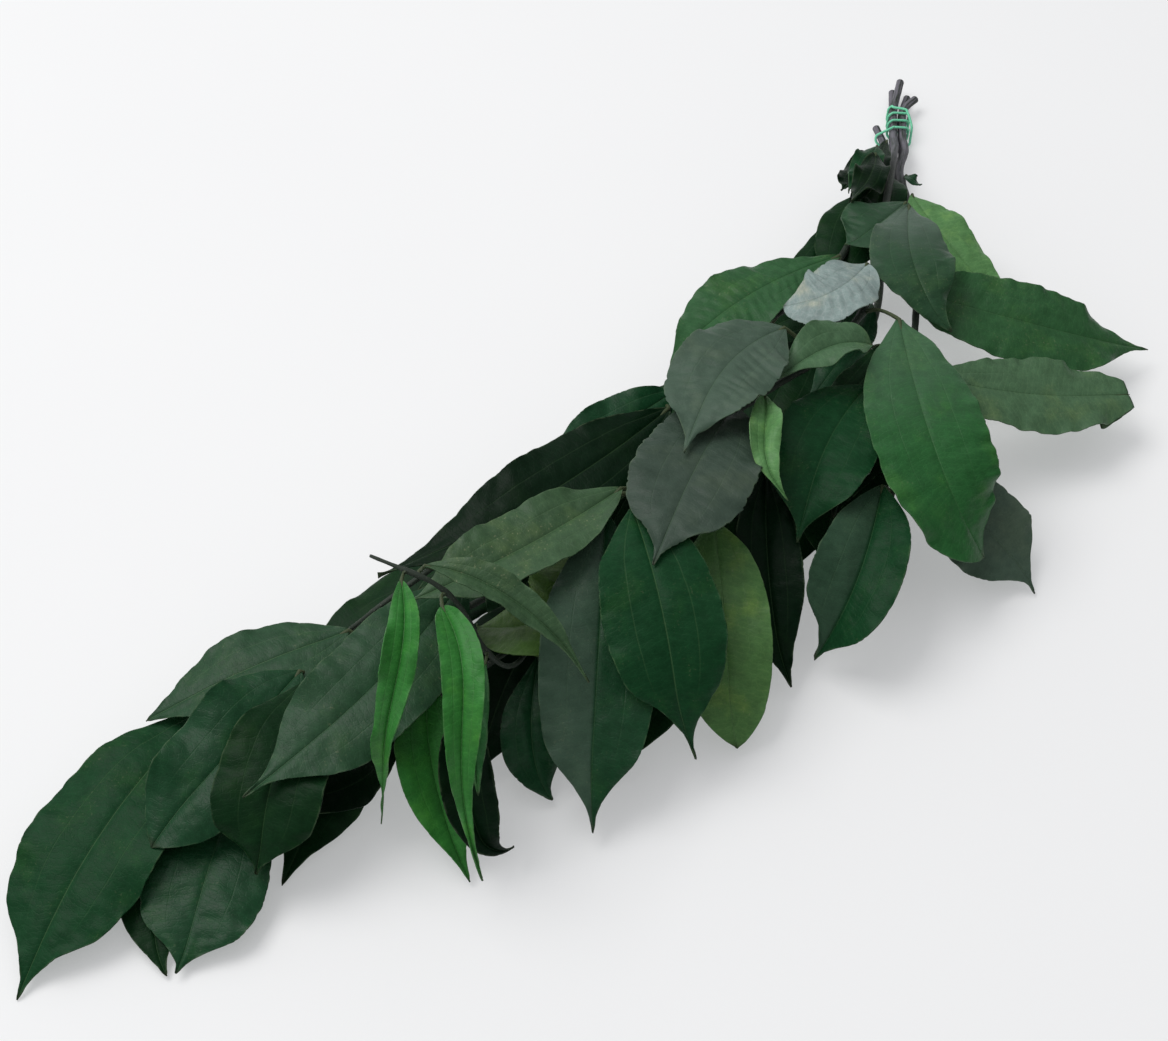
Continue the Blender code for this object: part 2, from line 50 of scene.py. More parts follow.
MM = 0.001
BAND_AT = np.array((-300.72, -85.32, 0.0))     # the middle of the band in the CAD frame
LOOK_AT = (311.86, 26.67, 0.0)
VIEW_AWAY = (0.79492, 0.60671)                 # over the ground, from the look-at to the camera
VIEW_RISE = math.radians(50.0)
VIEW_DISTANCE = 1.0                            # m
LENS, SENSOR = 66.85, 36.0
TABLE_REACH = 4.0                              # m
WINDOW_SIDE = (0.165, -0.629, 0.76)            # the way from the bunch to the window
WINDOW_AT = (0.29, -1.10, 2.10)                # m
WINDOW_SIZE = (1.5, 1.3)                       # m
WINDOW_WATTS = 29.0


def in_frame(points):
    """Millimetres from the band to metres in the CAD frame."""
    return (np.asarray(points, float) + BAND_AT) * MM


def aim(item, place, target):
    item.location = place
    item.rotation_euler = (Vector(target) - Vector(place)).to_track_quat("-Z", "Y").to_euler()
    bpy.context.scene.collection.objects.link(item)


target = in_frame(LOOK_AT)
flat, high = math.cos(VIEW_RISE), math.sin(VIEW_RISE)
away = np.array((flat * VIEW_AWAY[0], flat * VIEW_AWAY[1], high))
lens = bpy.data.cameras.new("camera")
lens.lens = LENS
lens.sensor_width = SENSOR
lens.clip_start = 0.01
camera = bpy.data.objects.new("camera", lens)
aim(camera, tuple(target + VIEW_DISTANCE * away), tuple(target))
bpy.context.scene.camera = camera
bpy.context.scene.view_settings.view_transform = "Standard"


class Signal:
    """A socket of a node tree. Sums and products of signals add their Math nodes."""

    def __init__(self, recipe, socket):
        self.recipe = recipe
        self.socket = socket

    def maths(self, operation, *others):
        return self.recipe.maths(operation, self, *others)

    def __rsub__(self, other):
        return self.recipe.maths("SUBTRACT", other, self)

    __add__ = __radd__ = partialmethod(maths, "ADD")
    __sub__ = partialmethod(maths, "SUBTRACT")
    __mul__ = __rmul__ = partialmethod(maths, "MULTIPLY")
    __truediv__ = partialmethod(maths, "DIVIDE")
    __pow__ = partialmethod(maths, "POWER")
    __abs__ = partialmethod(maths, "ABSOLUTE")


class Recipe:
    """A node tree, of a finish or of geometry, and the one method that adds nodes to it."""

    def __init__(self, tree):
        self.tree = tree

    def feed(self, socket, value):
        if isinstance(value, Signal):
            self.tree.links.new(value.socket, socket)
        else:
            socket.default_value = value

    def node(self, kind, values=None, out=0, **settings):
        node = self.tree.nodes.new(kind)
        for name, value in settings.items():
            setattr(node, name, value)
        for key, value in (values or {}).items():
            self.feed(node.inputs[key], value)
        return Signal(self, node.outputs[out])

    def maths(self, operation, *values):
        return self.node("ShaderNodeMath", dict(enumerate(values)), operation=operation)

    def split(self, vector):
        node = self.tree.nodes.new("ShaderNodeSeparateXYZ")
        self.feed(node.inputs[0], vector)
        return [Signal(self, socket) for socket in node.outputs]

    def join(self, x, y, z):
        return self.node("ShaderNodeCombineXYZ", {0: x, 1: y, 2: z})

    def between(self, value, low, high, least=0.0, most=1.0):
        """The least below low, the most above high, and a soft step between them."""
        return self.node("ShaderNodeMapRange", {
            "Value": value, "From Min": low, "From Max": high, "To Min": least, "To Max": most},
            interpolation_type="SMOOTHSTEP")

    def noise(self, vector, scale, detail=2.0, rough=0.5):
        return self.node("ShaderNodeTexNoise", {
            "Vector": vector, "Scale": scale, "Detail": detail, "Roughness": rough})


class Finish(Recipe):
    """A material with its Principled shader."""

    def __init__(self, name, gloss):
        self.material = bpy.data.materials.new(name)
        self.material.use_nodes = True
        super().__init__(self.material.node_tree)
        self.tree.nodes.clear()
        self.shader = self.tree.nodes.new("ShaderNodeBsdfPrincipled")
        end = self.tree.nodes.new("ShaderNodeOutputMaterial")
        self.tree.links.new(self.shader.outputs[0], end.inputs["Surface"])
        self.set("Specular IOR Level", gloss)

    def set(self, key, value):
        self.feed(self.shader.inputs[key], value)

    def attribute(self, name, out="Vector"):
        return self.node("ShaderNodeAttribute", out=out, attribute_name=name)

    def mix(self, share, a, b, blend="MIX"):
        """Colours a and b mixed."""
        a, b = ((*colour, 1.0) if isinstance(colour, tuple) else colour for colour in (a, b))
        return self.node("ShaderNodeMix", {0: share, 6: a, 7: b}, 2, data_type="RGBA",
                         blend_type=blend)

    def relief(self, height_mm):
        """Fine relief that is too small for the mesh, its height in millimetres."""
        self.set("Normal", self.node("ShaderNodeBump", {
            "Strength": 1.0, "Distance": 1.0, "Height": height_mm * MM}))


table_top = Finish("pale_table_top", gloss=0.1)
table_top.set("Roughness", 0.75)
# The table top glows a little: painted light that lightens the shadows on it and lights the leaves
# from below.
table_top.set("Emission Strength", 0.33)
table_top.set("Emission Color", (0.98, 0.99, 1.0, 1.0))
grain = table_top.noise(table_top.node("ShaderNodeTexCoord", out="Object"), 3.0, 3.0)
table_top.set("Base Color", table_top.mix(grain, (0.58, 0.58, 0.585), (0.61, 0.61, 0.61)))
table_mesh = bpy.data.meshes.new("table_top")
corners = [(x * TABLE_REACH, y * TABLE_REACH, 0) for x, y in ((-1, -1), (1, -1), (1, 1), (-1, 1))]
table_mesh.from_pydata(corners, [], [(0, 1, 2, 3)])
table_mesh.materials.append(table_top.material)
table = bpy.data.objects.new("table_top", table_mesh)
bpy.context.scene.collection.objects.link(table)

# The room is bright towards the window's side and dim behind the camera
world = bpy.data.worlds.new("room")
world.use_nodes = True
room = Recipe(world.node_tree)
room.tree.nodes.clear()
window_side = room.node("ShaderNodeVectorMath", {
    0: room.node("ShaderNodeTexCoord", out="Object"), 1: WINDOW_SIDE}, "Value",
    operation="DOT_PRODUCT")
strength = room.between(window_side, -0.4, 1.0, 0.15, 0.75)
sky = room.node("ShaderNodeBackground", {"Color": (0.97, 0.98, 1.0, 1.0), "Strength": strength})
room.tree.links.new(sky.socket, room.tree.nodes.new("ShaderNodeOutputWorld").inputs[0])
bpy.context.scene.world = world
window = bpy.data.lights.new("window", "AREA")
window.shape = "RECTANGLE"
window.size, window.size_y = WINDOW_SIZE
window.energy = WINDOW_WATTS
window.color = (1.0, 0.99, 0.975)
aim(bpy.data.objects.new("window", window), WINDOW_AT, (0.0, 0.0, 0.0))

# Stems and their twigs. Young cocculus wood, round and 4 mm thick, cut with secateurs at the
# butt and dried dark: fine ridges run along the bark, small pale pores are strewn over it, and
# the stem swells where each leaf stalk leaves it.

STEM_RADIUS = 2.0
STEM_STEP = 24.0        # runs of the CAD stems, over which the leaves are laid
FINE_STEP = 3.0         # runs of the stems made here
TIE_HEADING = 32.0      # degrees from +X, the way the stems run through the band
TIE_WAY = (math.cos(math.radians(TIE_HEADING)), math.sin(math.radians(TIE_HEADING)))
AWAY_FROM_TIE = 200.0   # where a twig's or a stalk's bark is counted from, beyond the dry butts
TWIG_SHARE = 0.8        # of its CAD radius
BARK_EDGE = 0.45        # from the cut face to where the bark begins
BARK_SWELL = 1.04
END_LONG, END_THIN = 0.5, 0.6    # of a twig's end, as shares of its radius

# Rings of a cut face from its pith out: share of the radius, and how far in it lies
CUT_RINGS = ((0.02, -0.10), (0.30, -0.06), (0.55, -0.02), (0.80, 0.02), (0.97, 0.12))
UP = np.array((0.0, 0.0, 1.0))

# Stems through the band, in its own frame: along, across, height
BUTTS = {
    1: [(-31, 10, 7.2), (-20, 3.4, 8.3), (-8, 2.9, 8.3), (4, 2.9, 8.6), (18, 3.8, 11.5)],
    2: [(-43, 1.6, 9), (-20, -1.9, 8.3), (-8, -1.9, 8.3), (4, -1.8, 8.8), (18, -1.8, 14.5)],
    3: [(-9, -11, 3.8), (4, -6.9, 3.9), (18, -7.2, 8)],
    4: [(-40, -2.2, 3.8), (-20, -2, 3.8), (-8, -2, 3.8), (4, -1.9, 3.9), (18, -1.6, 7)],
    5: [(-37, 6, 2.8), (-20, 2.7, 3.8), (-8, 2.7, 3.8), (4, 2.7, 3.9), (18, 2.2, 3.2)],
}

# Stems beyond the band: x, y, height, radius. The first run goes on from the butt, the others
# are its side twigs.
STEMS = {
    1: [[(36, 23, 17, 2.0), (73, 51, 31, 1.9), (110, 77, 41, 1.8), (150, 99, 47, 1.7),
         (185, 118, 49, 1.5), (225, 138, 46, 1.3), (255, 150, 40, 1.0)]],
    2: [[(36, 18, 24, 2.0), (72, 36, 38, 1.9), (105, 52, 48, 1.9), (138, 69, 57, 1.8),
         (175, 84, 62, 1.7), (215, 87, 67, 1.6), (252, 81, 70, 1.5), (290, 72, 68, 1.4),
         (330, 65, 62, 1.1)],
        [(138, 69, 57, 1.4), (146, 82, 61, 1.3), (152, 90, 63, 1.1)]],
    3: [[(36, 13, 15, 2.0), (70, 26, 25, 1.9), (105, 38, 36, 1.9), (140, 48, 45, 1.8),
         (180, 48, 49, 1.8), (225, 38, 48, 1.7), (270, 32, 47, 1.6), (320, 27, 47, 1.5),
         (370, 22, 50, 1.4), (402, 20, 54, 1.3), (430, 12, 48, 1.1), (446, 4, 38, 1.0)]],
    4: [[(36, 20, 13, 2.0), (72, 37, 20, 1.9), (110, 57, 29, 1.9), (150, 78, 36, 1.8),
         (200, 94, 41, 1.7), (245, 100, 44, 1.7), (290, 98, 46, 1.6), (330, 88, 46, 1.5),
         (370, 78, 45, 1.4), (400, 70, 44, 1.3), (430, 64, 44, 1.2), (455, 58, 45, 1.1),
         (472, 48, 42, 0.9)],
        [(398, 71, 44, 1.3), (424, 76, 50, 1.3), (433, 70, 64, 1.2), (432, 58, 80, 1.2),
         (434, 47, 90, 1.1), (438, 34, 94, 1.0), (441, 18, 94, 0.8)]],
    5: [[(40, 16, 3.5, 2.0), (75, 31, 7, 1.9), (120, 48, 11, 1.9), (170, 61, 15, 1.8),
         (220, 66, 17, 1.7), (280, 58, 19, 1.7), (340, 44, 21, 1.6), (400, 27, 23, 1.5),
         (450, 11, 25, 1.4), (490, -4, 25, 1.3), (512, -12, 23, 1.1)],
        [(470, 4, 25, 1.3), (480, 14, 28, 1.1), (488, 19, 29, 0.9)],
        [(500, -8, 24, 1.2), (525, 4, 18, 1.1), (543, 9, 13, 0.9)]],
}


def unit(vectors):
    length = np.linalg.norm(vectors, axis=-1, keepdims=True)
    return vectors / np.maximum(length, 1e-9)


def from_tie(along, across, height):
    """Point of the band's own frame in the bunch's frame."""
    c, s = TIE_WAY
    return (c * along - s * across, s * along + c * across, height)


def smooth_path(points, step):
    """Even curve through points (x, y, z, radius), in runs about one step long."""
    p = np.array(points, float)
    p = np.vstack([2 * p[0] - p[1], p, 2 * p[-1] - p[-2]])
    out = []
    for i in range(1, len(p) - 2):
        a, b, c, d = p[i - 1:i + 3]
        runs = max(1, int(round(np.linalg.norm(c[:3] - b[:3]) / step)))
        for k in range(runs):
            t = k / runs
            bend = (2 * a - 5 * b + 4 * c - d) * t * t + (3 * b - a - 3 * c + d) * t ** 3
            out.append(0.5 * (2 * b + (c - a) * t + bend))
    out.append(p[-2])
    return np.array(out)


def stem_paths(step):
    paths = {}
    for number, (first, *twigs) in STEMS.items():
        butt = [from_tie(*point) + (STEM_RADIUS,) for point in BUTTS[number]]
        paths[number] = [smooth_path(run, step) for run in (butt + first, *twigs)]
    return paths


def chain(path, green, cut_end):
    """A tube's centre line with what its bark needs: distance along it, the share of the
    radius reached on its cut face, and how green it is."""
    path = np.asarray(path, float)
    run = np.concatenate([[0], np.cumsum(np.linalg.norm(np.diff(path[:, :3], axis=0), axis=1))])
    cut = np.ones(len(path))
    if cut_end:
        butt = path[0]
        ahead = unit(path[1, :3] - butt[:3])
        rings = [[*(butt[:3] + ahead * off), butt[3] * share] for share, off in CUT_RINGS]
        rings.append([*(butt[:3] + ahead * BARK_EDGE), butt[3] * BARK_SWELL])
        path = np.vstack([rings, path[1:]])
        run = np.concatenate([np.zeros(len(CUT_RINGS)), [BARK_EDGE], run[1:]])
        cut = np.concatenate([[share for share, off in CUT_RINGS], cut])
    else:
        end = path[-1]
        ahead = unit(end[:3] - path[-2, :3])
        path = np.vstack([path, [*(end[:3] + ahead * end[3] * END_LONG), end[3] * END_THIN]])
        run = AWAY_FROM_TIE + np.append(run, run[-1] + end[3] * END_LONG)
        cut = np.append(cut, 1.0)
    return dict(path=path, run=run, cut=cut, green=np.full(len(path), green))


def make_item(name, points, faces, values, edges=()):
    """Mesh object in the CAD frame with its named values at the vertices."""
    mesh = bpy.data.meshes.new(name)
    mesh.from_pydata(in_frame(points).tolist(), list(edges), faces)
    for key, value in values.items():
        value = np.asarray(value, np.float32)
        kind, field = ("FLOAT", "value") if value.ndim == 1 else ("FLOAT_VECTOR", "vector")
        mesh.attributes.new(key, kind, "POINT").data.foreach_set(field, value.ravel())
    item = bpy.data.objects.new(name, mesh)
    bpy.context.scene.collection.objects.link(item)
    return item


def bark_place(turn, run, girth, along):
    """Place for a pattern on bark, which closes on itself round the stem."""
    return turn.recipe.join(turn.maths("COSINE") * girth, turn.maths("SINE") * girth, run * along)


class Shaper(Recipe):
    """A geometry node tree with named inputs. run() makes an object's mesh with it."""

    def __init__(self, name, inputs):
        super().__init__(bpy.data.node_groups.new(name, "GeometryNodeTree"))
        self.inputs = inputs
        self.ports = self.tree.interface
        for side in ("INPUT", "OUTPUT"):
            self.ports.new_socket("Geometry", in_out=side, socket_type="NodeSocketGeometry")
        kinds = {float: "NodeSocketFloat", int: "NodeSocketInt"}
        for key, value in inputs.items():
            kind = kinds.get(type(value), "NodeSocketMaterial")
            self.ports.new_socket(key, in_out="INPUT", socket_type=kind)
        start = self.tree.nodes.new("NodeGroupInput")
        self.given = {socket.name: Signal(self, socket) for socket in start.outputs if socket.name}

    def named(self, name, kind="FLOAT"):
        return self.node("GeometryNodeInputNamedAttribute", {"Name": name}, data_type=kind)

    def store(self, geometry, name, value):
        return self.node("GeometryNodeStoreNamedAttribute", {
            "Geometry": geometry, "Name": name, "Value": value}, data_type="FLOAT")

    def line_and_ring(self, radius):
        """The centre line that the object's edges give, and the circle to sweep along it."""
        line = self.node("GeometryNodeMeshToCurve", {0: self.given["Geometry"]})
        ring = self.node("GeometryNodeCurvePrimitiveCircle", {
            "Resolution": self.given["Sides"], "Radius": radius})
        return line, ring

    def push_out(self, geometry, rise):
        push = self.node("ShaderNodeVectorMath", {
            "Vector": self.node("GeometryNodeInputNormal"), "Scale": rise}, operation="SCALE")
        return self.node("GeometryNodeSetPosition", {"Geometry": geometry, "Offset": push})

    def finish(self, geometry, material=None):
        """The end of the tree, with the input that holds its material."""
        if material:
            geometry = self.node("GeometryNodeSetMaterial", {
                "Geometry": geometry, "Material": self.given[material]})
        whole = self.node("GeometryNodeRealizeInstances", {0: geometry})
        whole = self.node("GeometryNodeSetShadeSmooth", {0: whole})
        end = self.tree.nodes.new("NodeGroupOutput")
        self.feed(end.inputs[0], whole)

    def run(self, item, extra=None):
        """Set the inputs by their identifiers, evaluate, and keep the result as a plain mesh."""
        modifier = item.modifiers.new(self.tree.name, "NODES")
        modifier.node_group = self.tree
        for socket in self.ports.items_tree:
            if socket.in_out == "INPUT" and socket.name in self.inputs:
                modifier[socket.identifier] = self.inputs[socket.name]
        if extra:
            extra(item)
        graph = bpy.context.evaluated_depsgraph_get()
        made = bpy.data.meshes.new_from_object(item.evaluated_get(graph))
        item.modifiers.clear()
        old = item.data
        item.data = made
        made.name = item.name
        bpy.data.meshes.remove(old)


bark = Finish("dried_bark", gloss=0.35)
step, mix = bark.between, bark.mix
run_mm = bark.attribute("run_mm", "Fac")
turn = bark.attribute("round", "Fac") * math.tau
green = bark.attribute("green", "Fac")
cut = bark.attribute("cut", "Fac")
streaks = bark.noise(bark_place(turn, run_mm, 3.0, 0.12), 1.6, 4.0, 0.65)
patches = bark.noise(bark_place(turn, run_mm, 1.0, 0.07), 1.0, 3.0)
pores = 1.0 - step(bark.node("ShaderNodeTexVoronoi", {
    "Vector": bark_place(turn, run_mm, 1.2, 0.55), "Scale": 1.3}, out="Distance"), 0.10, 0.22)
near_tie = 1.0 - step(run_mm, 40.0, 130.0)
tone = mix(streaks, (0.006, 0.014, 0.009), (0.030, 0.044, 0.028))
lilac = mix(streaks, (0.075, 0.073, 0.090), (0.28, 0.26, 0.31))
tone = mix(near_tie * step(patches, 0.35, 0.6) * 0.8, tone, lilac)
stalk_tone = mix(streaks, (0.020, 0.048, 0.018), (0.075, 0.085, 0.035))
tone = mix(green, tone, stalk_tone)
tone = mix(pores * (1.0 - green) * 0.55, tone, (0.20, 0.19, 0.16))
rings = (cut * 26.0).maths("SINE") * 0.5 + 0.5
wood = mix(rings, (0.30, 0.27, 0.20), (0.16, 0.14, 0.10))
wood = mix(1.0 - step(cut, 0.05, 0.22), wood, (0.10, 0.07, 0.045))
tone = mix(1.0 - step(cut, 0.86, 0.95), tone, wood)
bark.set("Base Color", tone)
bark.set("Roughness", 0.52 + streaks * 0.25)
bark.relief(streaks * 0.12 + pores * (1.0 - green) * 0.06)

# A tube along each chain, with ridges that follow it
bark_tube = Shaper("bark_tube", {"Sides": 14, "Ridge Height": 0.00022, "Lump Height": 0.00025,
                                 "Bark": bark.material})
line, ring = bark_tube.line_and_ring(1.0)
ring = bark_tube.store(ring, "round", bark_tube.node("GeometryNodeSplineParameter"))
tube = bark_tube.node("GeometryNodeCurveToMesh", {
    "Curve": line, "Profile Curve": ring, "Scale": bark_tube.named("thick"), "Fill Caps": True})
turn = bark_tube.named("round") * math.tau
run_mm = bark_tube.named("run_mm")
ridges = bark_tube.noise(bark_place(turn, run_mm, 2.2, 0.05), 1.3) - 0.5
lumps = bark_tube.noise(bark_place(turn, run_mm, 0.6, 0.22), 1.0) - 0.5
outward = bark_tube.between(bark_tube.named("cut"), 0.9, 1.0)
rise = (ridges * bark_tube.given["Ridge Height"] + lumps * bark_tube.given["Lump Height"])
rise = rise * outward * 2.0 * (1.0 - bark_tube.named("green") * 0.6)
bark_tube.finish(bark_tube.push_out(tube, rise), "Bark")

paths = stem_paths(STEM_STEP)
chains = {}
for stem, (run, *twigs) in stem_paths(FINE_STEP).items():
    twigs = [twig * (1, 1, 1, TWIG_SHARE) for twig in twigs]
    chains[stem] = [chain(run, 0.0, True)] + [chain(twig, 0.0, False) for twig in twigs]

# Leaves. Long evergreen blades with three main veins from the base, a waved and finely notched
# margin and a drip tip, dyed and softened in glycerine so that they stay waxy and bend. They
# lie on one another in layers, each laid on what is under it.

BLADE_THICK = 0.7       # of the CAD blades
LEAF_THICK = 0.5        # of the blades made here
LEAF_GAP = 1.3          # from a blade to what it lies on
LOWEST = 0.575          # height of a blade's middle where it lies on the table
NARROW = 20             # width up to which a fine blade has half the rows and columns
SHARP_FOLD = 45         # a blade folded more than this, in degrees,
OPENED = 20             # stands this much more open than its CAD one
LONG_WAVES = 2.4        # along a margin
TOOTH_PITCH = 4.2
TIP_SWING = 2.4         # most that a drip tip bends aside

# A blade's half width as a share of its widest, from its base (0) to its tip (1): a long taper,
# a broad blade with a sudden drip tip, and a blunt one
OUTLINE_AT = (0.0, 0.06, 0.18, 0.33, 0.45, 0.60, 0.74, 0.85, 0.93, 1.0)
OUTLINES = {
    "long": (0.06, 0.30, 0.72, 0.97, 1.00, 0.90, 0.61, 0.30, 0.12, 0.03),
    "drip": (0.06, 0.34, 0.77, 0.97, 1.00, 0.95, 0.74, 0.29, 0.075, 0.02),
    "blunt": (0.06, 0.36, 0.79, 0.98, 1.00, 0.99, 0.89, 0.69, 0.41, 0.05),
}

# Rows and columns of the CAD blades, and of the blades made here
ROWS = np.array((0.0, 0.08, 0.21, 0.37, 0.54, 0.70, 0.85, 1.0))
COLS = np.array((-1.0, -0.5, 0.0, 0.5, 1.0))
PLAIN_ROWS = np.array((0.0, 0.12, 0.33, 0.6, 0.82, 1.0))
FEW_COLS = np.array((-1.0, 0.0, 1.0))
SLIM = 30               # width up to which a CAD blade has few columns
HALF_COLS = np.array((0.03, 0.09, 0.17, 0.27, 0.37, 0.46, 0.54, 0.63, 0.72, 0.81, 0.89, 0.95,
                      0.985, 1.0))
FINE_COLS = np.concatenate([-HALF_COLS[::-1], [0.0], HALF_COLS])
FINE_ROWS = 108

ALL = (1, 2, 3, 4, 5)
HIDDEN = dict(under=ALL, plain=True)

# Finishes of the leaves: their dye with painted shade, their painted sheen, and pale specks.
# "shade" and "deep_shade" are near-black painted shade for leaves deep in the bunch or turned
# from the light. The painted sheen is a grey reflection of the window painted over the dye,
# strongest in "grey", "slate" and "silver_sheen".
LOOKS = {
    "shade": (0.004, 0.024, 0.007, 0, 0),
    "deep_shade": (0.002, 0.012, 0.004, 0, 0),
    "deep": (0.006, 0.044, 0.015, 0, 0.1),
    "bottle": (0.007, 0.044, 0.015, 0, 0.1),
    "forest": (0.012, 0.052, 0.019, 0.12, 0.2),
    "moss": (0.034, 0.082, 0.032, 0.15, 0.4),
    "green": (0.020, 0.088, 0.026, 0.08, 0.2),
    "vivid": (0.018, 0.098, 0.025, 0, 0.1),
    "bright": (0.028, 0.165, 0.028, 0, 0),
    "light": (0.095, 0.235, 0.080, 0, 0),
    "lime": (0.050, 0.115, 0.020, 0, 0.2),
    "olive": (0.068, 0.165, 0.048, 0, 0.2),
    "pale": (0.058, 0.132, 0.060, 0.15, 0.2),
    "grey": (0.028, 0.064, 0.036, 0.7, 0),
    "slate": (0.016, 0.034, 0.021, 0.45, 0),
    "silver_sheen": (0.220, 0.290, 0.275, 0, 0),
}
DULL_LOOKS = ("shade", "deep_shade", "bottle")
